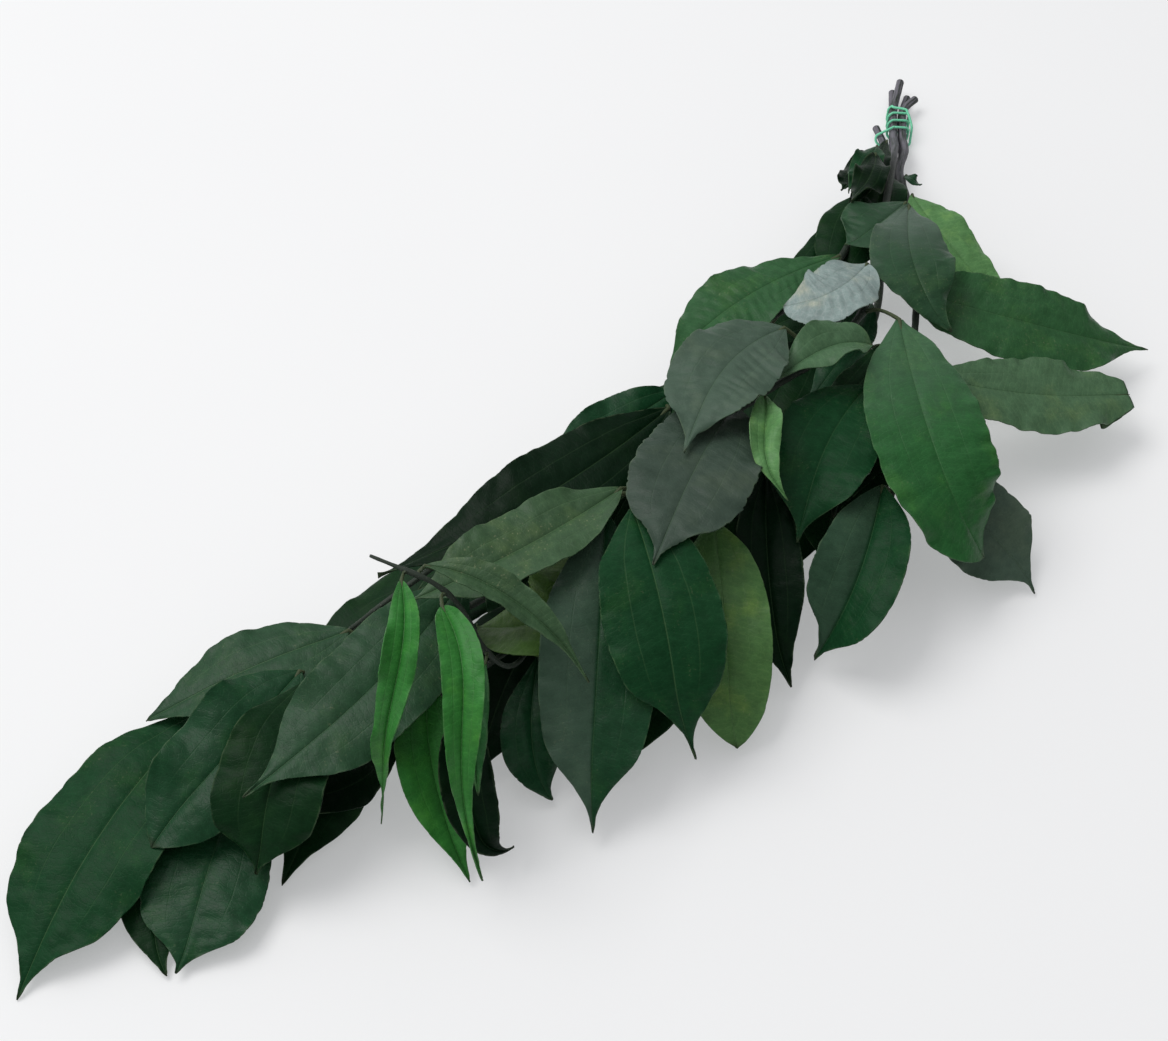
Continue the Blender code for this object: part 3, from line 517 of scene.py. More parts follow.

# Leaves from the lowest to the topmost: stem, base, crest (middle of the midrib), tip, width
# and what is its own. under = stems that pass over the leaf, so that it isn't laid on them.
# roll, fold, curl in degrees; wave, hook, teeth, ruffle, pleats, sway in mm, the last four of the
# margin's notches and short waves, the cross pleats and the sideways bend. belly above 1 moves
# the widest place to the tip, flare widens the fine blade, tuck is where it folds under, and
# a plain one is hidden. rib = how pale the veins are; half and base_sheen = how much painted
# sheen, a painted reflection of the window, lies on one side and at the base.
LEAVES = [
    (5, (285, 52, 0.35), (330, 58, 0.35), (382, 72, 0.35), 46,
     dict(fold=0, curl=0, wave=0, under=ALL, look="shade")),
    (5, (130, 44, 10), (175, 24, 8), (222, 4, 0.4), 40, HIDDEN),
    (3, (185, 40, 32), (230, 30, 22), (280, 8, 6), 44, dict(HIDDEN, flare=0.6)),
    (3, (98, 28, 26), (150, 34, 18), (205, 36, 10), 36, dict(HIDDEN, flare=0.5)),
    (5, (212, 74, 13), (255, 100, 10), (305, 118, 0.4), 46, HIDDEN),
    (5, (365, 30, 18), (410, 2, 14), (455, -24, 0.4), 46, HIDDEN),
    (5, (405, 34, 20), (440, 56, 12), (478, 82, 0.4), 44, HIDDEN),
    (5, (330, 50, 14), (345, 95, 12), (365, 128, 0.4), 40, HIDDEN),
    (4, (335, 96, 36), (380, 112, 22), (425, 122, 3), 42, HIDDEN),
    (3, (300, 26, 36), (350, 14, 24), (400, 0, 10), 36, HIDDEN),
    (5, (452, 16, 26), (495, 34, 16), (540, 48, 3), 42, HIDDEN),
    (4, (298, 53, 46), (330, 56, 36), (356, 63, 24), 34, dict(HIDDEN, phase=3.1)),
    (4, (285, 77, 46), (318, 91, 36), (343, 104, 22), 38, dict(HIDDEN, phase=5.3)),
    (3, (352, 40, 36), (378, 44, 28), (408, 52, 20), 34, dict(HIDDEN, phase=4.4)),
    (4, (180, 62, 24), (215, 66, 20), (252, 76, 12), 38, dict(HIDDEN, phase=2.2)),
    (3, (54, 22, 14), (82, 36, 17), (112, 46, 10), 28, dict(HIDDEN, phase=0.7)),
    (3, (88, 30, 26), (120, 42, 24), (152, 52, 16), 32, dict(HIDDEN, phase=1.3)),
    (3, (45, 8, 16), (75, 17, 18), (90, 21, 8), 12, dict(look="deep_shade", ruffle=2.6, flare=1.3)),
    (1, (69, 48, 33), (85, 84, 30), (96, 136, 8), 30, dict(under=(1,), look="light")),
    (1, (220, 149, 36), (223, 183, 24), (221, 214, 3), 44,
     dict(roll=12, hook=-3, under=ALL, look="grey", teeth=0.5, shape="drip", ruffle=2.0)),
    (5, (512, -13, 20), (534, -2, 12), (559, 12, 3), 44, dict(under=ALL, look="shade")),
    (5, (530, -18, 14), (573, 11, 9), (599, 38, 1), 32, dict(under=ALL, look="shade")),
    (5, (520, 8, 15), (564, 29, 10), (594, 44, 1), 50,
     dict(under=ALL, look="deep", teeth=0.6, shape="drip")),
    (4, (466, 49, 24), (496, 36, 16), (516, 16, 8), 40, dict(under=ALL, look="deep_shade")),
    (3, (264, 43, 56), (304, 33, 54), (331, 10, 38), 28, dict(roll=-25, look="deep")),
    (4, (376, 63, 34), (417, 67, 24), (456, 81, 5), 54, dict(under=ALL, look="deep_shade")),
    (4, (403, 73, 32), (433, 92, 20), (443, 110, 3), 26,
     dict(belly=1.2, under=ALL, look="deep", teeth=0.5)),
    (4, (275, 99, 47), (316, 130, 32), (338, 157, 4), 30, dict(fold=20, look="deep_shade")),
    (3, (278, 48, 58), (356, 37, 60), (423, 3, 42), 42, dict(roll=-15, look="deep_shade")),
    (4, (352, 69, 50), (394, 74, 46), (410, 46, 32), 44, dict(look="lime", shape="blunt")),
    (1, (136, 84, 47), (111, 143, 38), (66, 185, 10), 44,
     dict(roll=15, look="green", shape="drip", ruffle=1.4)),
    (1, (183, 120, 50), (146, 166, 33), (95, 205, 18), 41,
     dict(roll=10, tuck=0.86, belly=1.2, look="pale", ruffle=1.8)),
    (4, (188, 101, 34), (239, 116, 24), (277, 136, 8), 46, dict(under=ALL, look="shade")),
    (1, (249, 143, 44), (295, 160, 33), (320, 158, 3), 41,
     dict(fold=28, look="bottle", shape="drip", half=-0.35)),
    (4, (187, 97, 38), (223, 112, 34), (256, 127, 20), 40, dict(under=ALL, look="deep_shade")),
    (3, (154, 75, 48), (191, 86, 50), (230, 87, 44), 20, dict(under=(2,), look="deep")),
    (4, (180, 98, 52), (216, 104, 53), (252, 94, 48), 20, dict(under=(2,), look="shade")),
    (4, (211, 110, 57), (258, 117, 59), (297, 132, 44), 46,
     dict(fold=14, under=(2,), look="bottle", shape="drip")),
    (4, (314, 98, 54), (351, 131, 39), (378, 155, 5), 42,
     dict(belly=1.15, look="olive", shape="blunt", flare=0.93, rib=0.4)),
    (5, (507, -24, 24), (579, -15, 22), (639, 1, 1), 56,
     dict(belly=1.2, look="bottle", shape="drip", rib=0.3)),
    (5, (447, 6, 35), (490, -17, 34), (526, -37, 20), 38, dict(look="forest", rib=0.3)),
    (5, (476, 5, 38), (521, 7, 36), (567, 4, 24), 42,
     dict(fold=12, wave=3, roll=-12, look="deep", ruffle=1.4, shape="blunt", flare=1.08)),
    (5, (481, 12, 42), (526, 34, 36), (547, 45, 5), 42,
     dict(fold=12, look="shade", shape="drip", flare=1.08)),
    (4, (453, 55, 55), (476, 76, 32), (493, 107, 3), 30, dict(fold=25, look="bright")),
    (4, (447, 72, 55), (477, 95, 33), (483, 116, 6), 26, dict(hook=11, fold=40, look="deep_shade")),
    (4, (439, 74, 64), (463, 87, 58), (475, 101, 36), 16, dict(fold=45, look="vivid")),
    (3, (408, 37, 60), (472, 42, 58), (536, 29, 46), 46,
     dict(belly=1.15, under=(4,), roll=-12, look="forest", ruffle=1.2, shape="drip")),
    (3, (143, 51, 54), (196, 33, 57), (249, 27, 52), 38,
     dict(belly=1.35, look="green", pleats=0.35, ruffle=1.6)),
    (1, (89, 55, 50), (120, 55, 55), (135, 50, 50), 34,
     dict(look="forest", pleats=0.2, base_sheen=0.1, flare=1.12)),
    (1, (95, 60, 54), (139, 89, 64), (156, 120, 52), 36,
     dict(look="forest", ruffle=1.4, flare=1.08, base_sheen=0.6)),
    (2, (152, 71, 67), (182, 70, 71), (196, 54, 64), 30,
     dict(look="silver_sheen", teeth=0.9, pleats=0.4, ruffle=1.4, shape="blunt", flare=1.15)),
    (3, (34, 12, 26), (75, 26, 35), (105, 33, 32), 11,
     dict(wave=2.2, look="deep_shade", ruffle=2.6, flare=1.3)),
    (1, (42, 30, 22), (45, 36, 24), (40, 39, 18), 8, dict(wave=0.6, look="deep")),
    (3, (50, 15, 28), (74, 22, 34), (98, 26, 34), 15,
     dict(look="bottle", ruffle=2.0, wave=2.5, phase=1.9)),
    (3, (64, 22, 30), (86, 32, 38), (112, 36, 40), 17,
     dict(look="deep_shade", ruffle=2.0, wave=2.5, phase=0.4)),
    (2, (173, 102, 64), (231, 157, 62), (241, 193, 26), 58,
     dict(belly=1.15, look="vivid", ruffle=1.9, shape="blunt", flare=0.91, base_sheen=0.3)),
    (2, (199, 103, 70), (219, 91, 77), (251, 82, 72), 26, dict(fold=48, look="pale")),
    (2, (347, 65, 61), (407, 106, 43), (449, 133, 4), 52,
     dict(belly=1.25, look="deep", shape="drip", flare=0.92, half=-0.5)),
    (2, (343, 76, 70), (380, 120, 62), (403, 147, 14), 50,
     dict(belly=1.15, hook=7, look="bottle", teeth=0.5, shape="drip", rib=0.35)),
    (2, (270, 77, 73), (319, 89, 79), (364, 103, 72), 50,
     dict(look="slate", teeth=1.3, ruffle=1.8, pleats=0.15, shape="drip", flare=1.06)),
    (2, (260, 86, 76), (284, 102, 78), (301, 124, 68), 24,
     dict(fold=60, look="light", flare=0.7, sway=1.5)),
    (2, (223, 71, 79), (267, 68, 85), (312, 82, 81), 46,
     dict(look="grey", teeth=1.3, ruffle=1.5, pleats=0.4, shape="drip")),
    (2, (335, 64, 70), (392, 52, 74), (439, 31, 71), 36,
     dict(fold=20, under=(4,), look="moss", shape="drip", rib=0.3)),
    (4, (442, 56, 92), (474, 92, 82), (499, 117, 22), 26,
     dict(fold=50, belly=0.75, look="bright", flare=0.7, sway=3.0, rib=0.3)),
    (4, (431, 38, 93), (420, 72, 88), (418, 112, 64), 24,
     dict(fold=50, look="moss", flare=0.7)),
    (4, (444, 37, 96), (480, 63, 84), (498, 65, 14), 22,
     dict(fold=55, belly=0.85, look="bright", flare=0.7, sway=2.0, rib=0.3)),
]
LEAF_HABIT = dict(roll=0, fold=6, curl=-14, wave=1.6, hook=0, belly=1.0, tuck=0, under=(),
                  shape="long", flare=1.0, plain=False, look="shade", teeth=0.3, ruffle=1.1,
                  sway=0.0, pleats=0.0, rib=0.15, half=0.0, base_sheen=0.0)

# Height map used to lay the leaves on one another, and how they are raised on it
CELL = 2.0
MAP_CORNER = (-80.0, -120.0)
MAP_SIZE = (400, 200)
FINE_U = np.linspace(0, 1, 65)
FINE_V = np.linspace(-1, 1, 25)
SOFT_LIFTS = 90
LAST_LIFTS = 12
CLOSE_ENOUGH = 0.02


def leaf_rows():
    """The table's rows as dictionaries, each with the phase of its margin's waves."""
    rows, count = [], 0
    for stem, base, crest, tip, width, own in LEAVES:
        row = dict(LEAF_HABIT, phase=1.7 * count)
        row.update(own)
        row.update(stem=stem, base=np.array(base, float), crest=np.array(crest, float),
                   tip=np.array(tip, float), width=width)
        count += "phase" not in own
        rows.append(row)
    return rows


def ease(stations, values, samples):
    """Smooth curve through the values that stand at the stations."""
    stations = np.asarray(stations, float)
    values = np.asarray(values, float)
    step = np.diff(stations)
    tall = (-1,) + (1,) * (values.ndim - 1)
    slope = np.diff(values, axis=0) / step.reshape(tall)
    before, after = step[:-1].reshape(tall), step[1:].reshape(tall)
    inner = (slope[:-1] * after + slope[1:] * before) / (before + after)
    tangent = np.concatenate([slope[:1], inner, slope[-1:]])
    k = np.clip(np.searchsorted(stations, samples, side="right") - 1, 0, len(step) - 1)
    h = step[k].reshape(tall)
    t = ((samples - stations[k]) / step[k]).reshape(tall)
    return ((2 * t ** 3 - 3 * t ** 2 + 1) * values[k] + (t ** 3 - 2 * t ** 2 + t) * h * tangent[k]
            + (3 * t ** 2 - 2 * t ** 3) * values[k + 1] + (t ** 3 - t ** 2) * h * tangent[k + 1])


def half_width(leaf, u, v, fine):
    """Half the blade's width. A fine blade has a smooth outline with notches in its margin."""
    fuller = 1.0 if leaf["shape"] == "long" else 0.35
    along = u ** (1 + fuller * (leaf["belly"] - 1))
    outline = OUTLINES[leaf["shape"]]
    if not fine:
        return 0.5 * leaf["width"] * np.interp(along, OUTLINE_AT, outline)
    half = 0.5 * leaf["width"] * leaf["flare"]
    half = half * ease(OUTLINE_AT, outline, along.ravel()).reshape(u.shape)
    half = half * np.sqrt(np.clip((1.0 - u) / 0.025, 0.02, 1))
    length = np.linalg.norm(leaf["tip"] - leaf["base"])
    tooth = u * length / TOOTH_PITCH + 0.7 * np.sin(u * 23 + leaf["phase"]) + 1.3 * (v > 0)
    notch = (1 - np.abs(np.sin(math.pi * tooth))) ** 2
    deep = leaf["teeth"] * (0.6 + 0.4 * np.sin(u * 37 + 2 * leaf["phase"] + 2.0 * (v > 0)))
    inside = np.clip((u - 0.06) / 0.1, 0, 1) * np.clip((0.97 - u) / 0.08, 0, 1)
    return half - deep * notch * inside * np.abs(v) ** 6


def blade(leaf, u, v, fine=False):
    """Middle surface of a blade: u from base (0) to tip (1), v across it (-1 to 1)."""
    u, v = np.broadcast_arrays(np.asarray(u, float), np.asarray(v, float))
    under = np.zeros_like(u)
    if leaf["tuck"]:
        # the last of the blade folds back under it
        under = np.clip(u - leaf["tuck"], 0, 1)
        u = np.where(u > leaf["tuck"], 2 * leaf["tuck"] - u, u)
    base, tip = leaf["base"], leaf["tip"]
    control = 2 * leaf["crest"] - (base + tip) / 2
    w = u[..., None]
    middle = (1 - w) ** 2 * base + 2 * w * (1 - w) * control + w ** 2 * tip
    forward = unit((1 - w) * (control - base) + w * (tip - control))
    side = unit(np.cross(UP, forward))
    normal = np.cross(forward, side)
    roll = math.radians(leaf["roll"])
    side, normal = (math.cos(roll) * side + math.sin(roll) * normal,
                    math.cos(roll) * normal - math.sin(roll) * side)
    half = half_width(leaf, u, v, fine)
    out = np.abs(v)
    # a sharply folded blade stands more open than its CAD one, and is narrower
    fold = math.radians(leaf["fold"] - OPENED * (fine and leaf["fold"] > SHARP_FOLD))
    curl = math.radians(leaf["curl"])
    if leaf["curl"]:
        across = (np.sin(fold + curl * out) - math.sin(fold)) / curl
        rise = (math.cos(fold) - np.cos(fold + curl * out)) / curl
    else:
        across = out * math.cos(fold)
        rise = out * math.sin(fold)
    bow = np.sqrt(np.sin(math.pi * np.clip(u, 0, 1)))
    wave = np.sin(2 * math.pi * LONG_WAVES * u + leaf["phase"] + 1.9 * (v > 0))
    wave = leaf["wave"] * out ** 2 * wave * bow
    if fine:
        # short waves of the margin, on top of the long ones
        run = u * np.linalg.norm(tip - base)
        middling = np.sin(run / 4.6 + 2 * leaf["phase"] + 2.1 * (v > 0) + 1.5 * np.sin(run / 17))
        short = (np.sin(run / 2.3 + 3 * leaf["phase"] + 2.6 * (v > 0))
                 + 0.7 * np.sin(run / 1.37 + 5 * leaf["phase"] + 0.9 * (v > 0)))
        short = middling * out ** 3 + 0.4 * out ** 4 * short
        wave = wave + leaf["ruffle"] * short * bow
    points = middle + (half * across * np.sign(v))[..., None] * side
    points = points + (half * rise + wave)[..., None] * normal
    near_tip = np.clip((u - 0.72) / 0.28, 0, 1)[..., None] ** 2
    hook = leaf["hook"]
    if fine:
        # the drip tip bends aside, and a slim blade sways
        hook = hook + TIP_SWING * math.sin(1.3 * leaf["phase"])
        points = points + leaf["sway"] * np.sin(math.tau * u)[..., None] * side
    points = points + hook * near_tip * side
    return points - (2.0 * (under > 0) + 14 * under)[..., None] * normal


def weights(stations, samples):
    """Shares of the stations in samples that lie between them."""
    return np.stack([np.interp(samples, stations, one) for one in np.eye(len(stations))], axis=-1)


def grid_normals(grid):
    return unit(np.cross(np.gradient(grid, axis=0), np.gradient(grid, axis=1)))


def map_cells(points):
    i = ((points[..., 0] - MAP_CORNER[0]) / CELL).astype(int)
    j = ((points[..., 1] - MAP_CORNER[1]) / CELL).astype(int)
    return np.clip(i, 1, MAP_SIZE[0] - 2), np.clip(j, 1, MAP_SIZE[1] - 2)


def stamp(heights, points, tops, reach):
    i, j = map_cells(points)
    for a in range(-reach, reach + 1):
        for b in range(-reach, reach + 1):
            np.maximum.at(heights, (i + a, j + b), tops)


def steepness(surface):
    """How much taller a blade's thickness stands on a slope."""
    return 1 / np.clip(np.abs(grid_normals(surface)[..., 2]), 0.35, 1)


def lay(leaf, leaf_map, stem_maps):
    """Coarse grid of a blade as the CAD has it, raised just enough to lie on what is under it,
    with the height that it was raised by."""
    rows = PLAIN_ROWS if leaf["plain"] else ROWS
    cols = FEW_COLS if leaf["plain"] or leaf["width"] <= SLIM else COLS
    share_u = weights(rows, FINE_U)
    share_v = weights(cols, FINE_V)
    grid = blade(leaf, rows[:, None], cols[None, :])
    fine = np.einsum("ai,ijk,bj->abk", share_u, grid, share_v)
    half = steepness(fine) * BLADE_THICK / 2
    i, j = map_cells(fine)
    floor = np.where(leaf_map[i, j] > 0, leaf_map[i, j] + LEAF_GAP + half, half)
    for stem, heights in stem_maps.items():
        if stem in leaf["under"]:
            continue
        over = np.where(heights[i, j] > 0, heights[i, j] + LEAF_GAP + half, 0)
        if stem == leaf["stem"]:
            # its stalk rises from this stem
            over[FINE_U < 0.16] = 0
        floor = np.maximum(floor, over)
    need = floor - fine[..., 2]
    lift = np.zeros(grid.shape[:2])
    near_u = share_u.T > 0.25
    near_v = share_v.T > 0.25

    def missing(lift):
        gap = np.maximum(need - share_u @ lift @ share_v.T, 0)
        up = np.zeros_like(lift)
        for r in range(len(rows)):
            row = gap[near_u[r]].max(axis=0)
            for c in range(len(cols)):
                up[r, c] = row[near_v[c]].max()
        return up, gap.max()

    if need.max() > 0:
        for _ in range(SOFT_LIFTS):
            lift = lift + 0.5 * missing(lift)[0]
            for _ in range(2):
                pad = np.pad(lift, 1, mode="edge")
                mean = (pad[:-2, 1:-1] + pad[2:, 1:-1] + pad[1:-1, :-2] + pad[1:-1, 2:]) / 4
                lift = 0.4 * lift + 0.6 * mean
            lift *= 0.985
        for _ in range(LAST_LIFTS):
            up, worst = missing(lift)
            lift = lift + up
            if worst < CLOSE_ENOUGH:
                break
    grid[..., 2] += lift
    fine[..., 2] += share_u @ lift @ share_v.T
    return grid, fine, (rows, cols, lift)


def nearest_root(base, runs):
    """Nearest place on the stem's centre line to a leaf's base, after how far it is."""
    nearest = (math.inf, None)
    for run in runs:
        for a, b in zip(run[:-1, :3], run[1:, :3]):
            t = np.clip(np.dot(base - a, b - a) / np.dot(b - a, b - a), 0, 1)
            root = a + t * (b - a)
            distance = np.linalg.norm(base - root)
            if distance < nearest[0]:
                nearest = (distance, root)
    return nearest


def fine_blade(leaf, raised):
    """The blade's fine grid, raised as its coarse one, with the values its finish needs."""
    rows, cols, lift = raised
    few = leaf["plain"] or leaf["width"] <= NARROW
    across = FINE_COLS[::2] if few else FINE_COLS
    u = np.linspace(0, 1, FINE_ROWS // 2 if few else FINE_ROWS)[:, None]
    grid = blade(leaf, u, across[None, :], fine=True)
    up = ease(cols, ease(rows, lift, u[:, 0]).T, across).T
    grid[..., 2] = np.maximum(grid[..., 2] + up, LOWEST)
    wide = half_width(leaf, u + 0 * across, across + 0 * u, False) * leaf["flare"]
    rib = grid[:, len(across) // 2]
    run = np.concatenate([[0], np.cumsum(np.linalg.norm(np.diff(rib, axis=0), axis=1))])

    def each(*values):
        """Three values at each place of the grid."""
        return np.stack([value + 0 * wide for value in values], axis=-1)

    *colour, painted_sheen, speck = LOOKS[leaf["look"]]
    return grid, dict(
        place=each(u, across, wide), dye_and_shade=each(*colour),
        measure=each(run[:, None], wide * across, leaf["phase"] * 7.0),
        habit=each(painted_sheen, speck, leaf["pleats"]),
        marks=each(leaf["rib"], leaf["half"], leaf["base_sheen"]))


def grid_faces(rows, cols, first):
    place = first + np.arange(rows * cols).reshape(rows, cols)
    return np.stack([place[:-1, :-1], place[1:, :-1], place[1:, 1:], place[:-1, 1:]],
                    axis=-1).reshape(-1, 4)


def leaf_finish(name, underside, gloss):
    """Waxed leaf: dyed green with mottling and painted shade, a painted sheen, three main
    veins, fine venules and a pale margin.
    """
    leaf = Finish(name, gloss)
    step, mix = leaf.between, leaf.mix
    u, v, wide = leaf.split(leaf.attribute("place"))
    run, side, seed = leaf.split(leaf.attribute("measure"))
    painted_sheen, speck = leaf.split(leaf.attribute("habit"))[:2]
    pale_rib, half, base_sheen = leaf.split(leaf.attribute("marks"))
    # The colour attribute holds the leaf's dye and painted shade, the darkest looks standing for
    # leaves in shade.
    dye_and_shade = leaf.attribute("dye_and_shade", "Color")
    at = leaf.join(run, side, seed)
    blotch = leaf.noise(at, 0.055, 3.0, 0.55)
    mottle = leaf.noise(at, 0.22, 4.0, 0.6)
    pores = leaf.noise(at, 1.6, 2.0)
    off_side = abs(side)
    midrib = 1.0 - step(off_side, 0.15, 0.45)
    off_vein = abs(abs(v) - 0.5) * wide
    veins = (1.0 - step(off_vein, 0.1, 0.4)) * (1.0 - step(u, 0.55, 0.85))
    veins = veins * step(off_side, 0.6, 1.6)
    slant = run - off_side * 0.35 + mottle * 5.0
    venules = abs((slant * 1.15).maths("SINE")) ** 14.0
    net = leaf.node("ShaderNodeTexVoronoi", {
        "Vector": leaf.join(run * 0.8, side * 0.45, seed), "Scale": 0.75}, "Distance",
        feature="DISTANCE_TO_EDGE")
    net = 1.0 - step(net, 0.02, 0.10)
    rim = 1.0 - step(wide * (1.0 - abs(v)), 0.15, 0.75)
    tone = mix(1.0, dye_and_shade, mix(mottle, (0.62, 0.62, 0.62), (1.38, 1.38, 1.38)),
                    "MULTIPLY")
    tone = mix(step(blotch, 0.5, 0.75) * 0.5, tone,
                    mix(1.0, tone, (1.9, 1.35, 0.9), "MULTIPLY"))
    tone = mix((venules * 0.5 + net * 0.5) * 0.22, tone,
                    mix(1.0, tone, (2.4, 1.9, 2.0), "MULTIPLY"))
    # Painted sheen: a pale grey film over the colour where the window's reflection lies, over the
    # whole leaf, on the one half that half picks, and near the base.
    sheen_tone = mix(mottle, (0.075, 0.115, 0.088), (0.115, 0.160, 0.128))
    sheen_one_side = step(v * half, 0.0, 0.04) * abs(half)
    sheen_near_base = (1.0 - step(u + (mottle - 0.5) * 0.2, 0.12, 0.5)) * base_sheen
    grey = painted_sheen * (0.35 + 0.5 * blotch) + sheen_one_side * (0.5 + 0.6 * blotch) + sheen_near_base
    tone = mix(grey, tone, sheen_tone)
    rib_tone = mix(0.75, tone, (0.10, 0.19, 0.08))
    tone = mix((midrib * pale_rib).maths("MAXIMUM", veins * pale_rib * 0.5), tone, rib_tone)
    flecks = step(leaf.noise(at, 0.85, 2.0), 0.62, 0.72) * step(blotch, 0.45, 0.6)
    tone = mix(flecks * speck, tone, (0.24, 0.26, 0.15))
    tone = mix(rim * 0.25 * step(mottle, 0.4, 0.6), tone, (0.13, 0.19, 0.10))
    tone = mix(step(u, 0.955, 1.0) * 0.6, tone, (0.030, 0.030, 0.018))
    if underside:
        tone = mix(0.30, tone, (0.070, 0.120, 0.055))
        leaf.set("Roughness", 0.58 + mottle * 0.2)
        raised = midrib * 0.3 + veins * 0.2 + venules * 0.06 + net * 0.05
        leaf.relief(raised + pores * 0.03)
    else:
        leaf.set("Roughness", 0.29 + mottle * 0.16 + painted_sheen * 0.10 + pores * 0.05)
        sunk = midrib * 0.12 + veins * 0.06 + venules * 0.035 + net * 0.03
        leaf.relief(mottle * 0.06 + pores * 0.02 - sunk)
    leaf.set("Base Color", tone)
    return leaf.material


leaf_face = leaf_finish("waxed_leaf_face", False, 0.17)
leaf_dull = leaf_finish("dull_leaf_face", False, 0.07)
leaf_back = leaf_finish("waxed_leaf_back", True, 0.12)

# Relief of a blade: grooves over the main veins, cross pleats, and the crinkle of drying
press = Shaper("blade_relief", {
    "Midrib Groove": 0.00030, "Vein Groove": 0.00012, "Pleat Pitch": 5.2, "Crinkle": 0.0021,
    "Fine Crinkle": 0.00055})
step = press.between
u, v, wide = press.split(press.named("place", "FLOAT_VECTOR"))
run, side, seed = press.split(press.named("measure", "FLOAT_VECTOR"))
pleats = press.split(press.named("habit", "FLOAT_VECTOR"))[2]
at = press.join(run, side, seed)
off_side = abs(side)
groove = (1.0 - step(off_side, 0.0, 1.3)) * press.given["Midrib Groove"]
near_vein = 1.0 - step(abs(abs(v) - 0.5) * wide, 0.0, 1.5)
near_vein = near_vein * (1.0 - step(u, 0.55, 0.85))
groove = groove + near_vein * press.given["Vein Groove"]
bend = press.noise(at, 0.05) * 9.0
phase = (run - off_side * 0.45 + bend) * math.tau / press.given["Pleat Pitch"]
across = step(u, 0.08, 0.25) * (1.0 - step(u, 0.6, 0.85))
across = across * (1.0 - step(abs(v), 0.55, 0.95))
pleat = phase.maths("SINE") * pleats * MM * across * step(abs(v), 0.02, 0.25)
pleat = pleat * (0.2 + 1.6 * press.noise(at, 0.11, 1.0))
inner = 1.0 - abs(v) ** 6.0
crinkle = (press.noise(at, 0.06) - 0.5) * press.given["Crinkle"]
crinkle = crinkle + (press.noise(at, 0.24) - 0.5) * press.given["Fine Crinkle"]
crinkle = crinkle * (0.45 + 1.05 * step(wide, 3.0, 16.0))
crinkle = crinkle * (0.2 + 0.8 * step(off_side, 0.0, 4.0))
ends = step(u, 0.0, 0.12) * (1.0 - step(u, 0.88, 1.0))
rise = (crinkle + pleat) * ends * (0.4 + 0.6 * inner) - groove
press.finish(press.push_out(press.given["Geometry"], rise))


def give_thickness(item):
    """A leaf's own thickness, with the back as the second finish."""
    wall = item.modifiers.new("thickness", "SOLIDIFY")
    wall.thickness = LEAF_THICK * MM
    wall.offset = 0
    wall.material_offset = 1
    wall.material_offset_rim = 0


# Radii of a stalk where it leaves the stem, along itself and at the end of its rib, how deep
# the rib lies under the blade's middle, and the shares of the blade at which it is measured
STALK_FOOT, STALK_THICK, RIB_END = 1.35, 0.85, 0.16
RIB_SUNK = 0.35
RIB_AT = (0.0, 0.03, 0.07, 0.13, 0.22, 0.34, 0.46, 0.58, 0.70, 0.84, 1.0)


def stalk_and_rib(leaf, grid):
    """Centre line of a leaf's stalk, which goes on as the rib under the blade."""
    rib = grid[:, grid.shape[1] // 2]
    down = grid_normals(grid)[:, grid.shape[1] // 2]
    down = np.where(down[:, 2:] > 0, -down, down)
    distance, root = nearest_root(rib[0], paths[leaf["stem"]])
    bend = (root + rib[0]) / 2 - unit(rib[4] - rib[0]) * min(distance * 0.25, 6)
    size = min(1.0, 0.45 + leaf["width"] / 70)
    points = [[*root, STALK_FOOT * size], [*bend, STALK_THICK * size]]
    last = (leaf["tuck"] or 0.93) * (len(rib) - 1)
    for share in RIB_AT:
        k = int(share * last)
        thick = size * (STALK_THICK * (1 - share) ** 0.8 + RIB_END)
        sunk = (RIB_SUNK + thick) * min(1, share / RIB_AT[2])
        point = rib[k] + down[k] * sunk
        point[2] = max(point[2], thick + 0.05)
        points.append([*point, thick])
    return root, smooth_path(points, FINE_STEP)


stem_maps = {}
for stem, runs in paths.items():
    heights = np.zeros(MAP_SIZE)
    for run in runs:
        for a, b in zip(run[:-1], run[1:]):
            dense = np.linspace(a, b, 12)
            stamp(heights, dense, dense[:, 2] + dense[:, 3], 1)
    stem_maps[stem] = heights

leaf_map = np.zeros(MAP_SIZE)
blades = {stem: [] for stem in STEMS}
roots = {stem: [] for stem in STEMS}
for leaf in leaf_rows():
    grid, fine, raised = lay(leaf, leaf_map, stem_maps)
    tops = fine[..., 2] + BLADE_THICK / 2 * steepness(fine)
    stamp(leaf_map, fine, tops, 0 if leaf["fold"] > 40 else 1)
    shown, values = fine_blade(leaf, raised)
    dull = leaf["plain"] or leaf["look"] in DULL_LOOKS
    blades[leaf["stem"]].append((shown, values, 2 * dull))
    root, stalk = stalk_and_rib(leaf, shown)
    chains[leaf["stem"]].append(chain(stalk, 1.0, False))
    roots[leaf["stem"]].append((root, shown[0, shown.shape[1] // 2]))

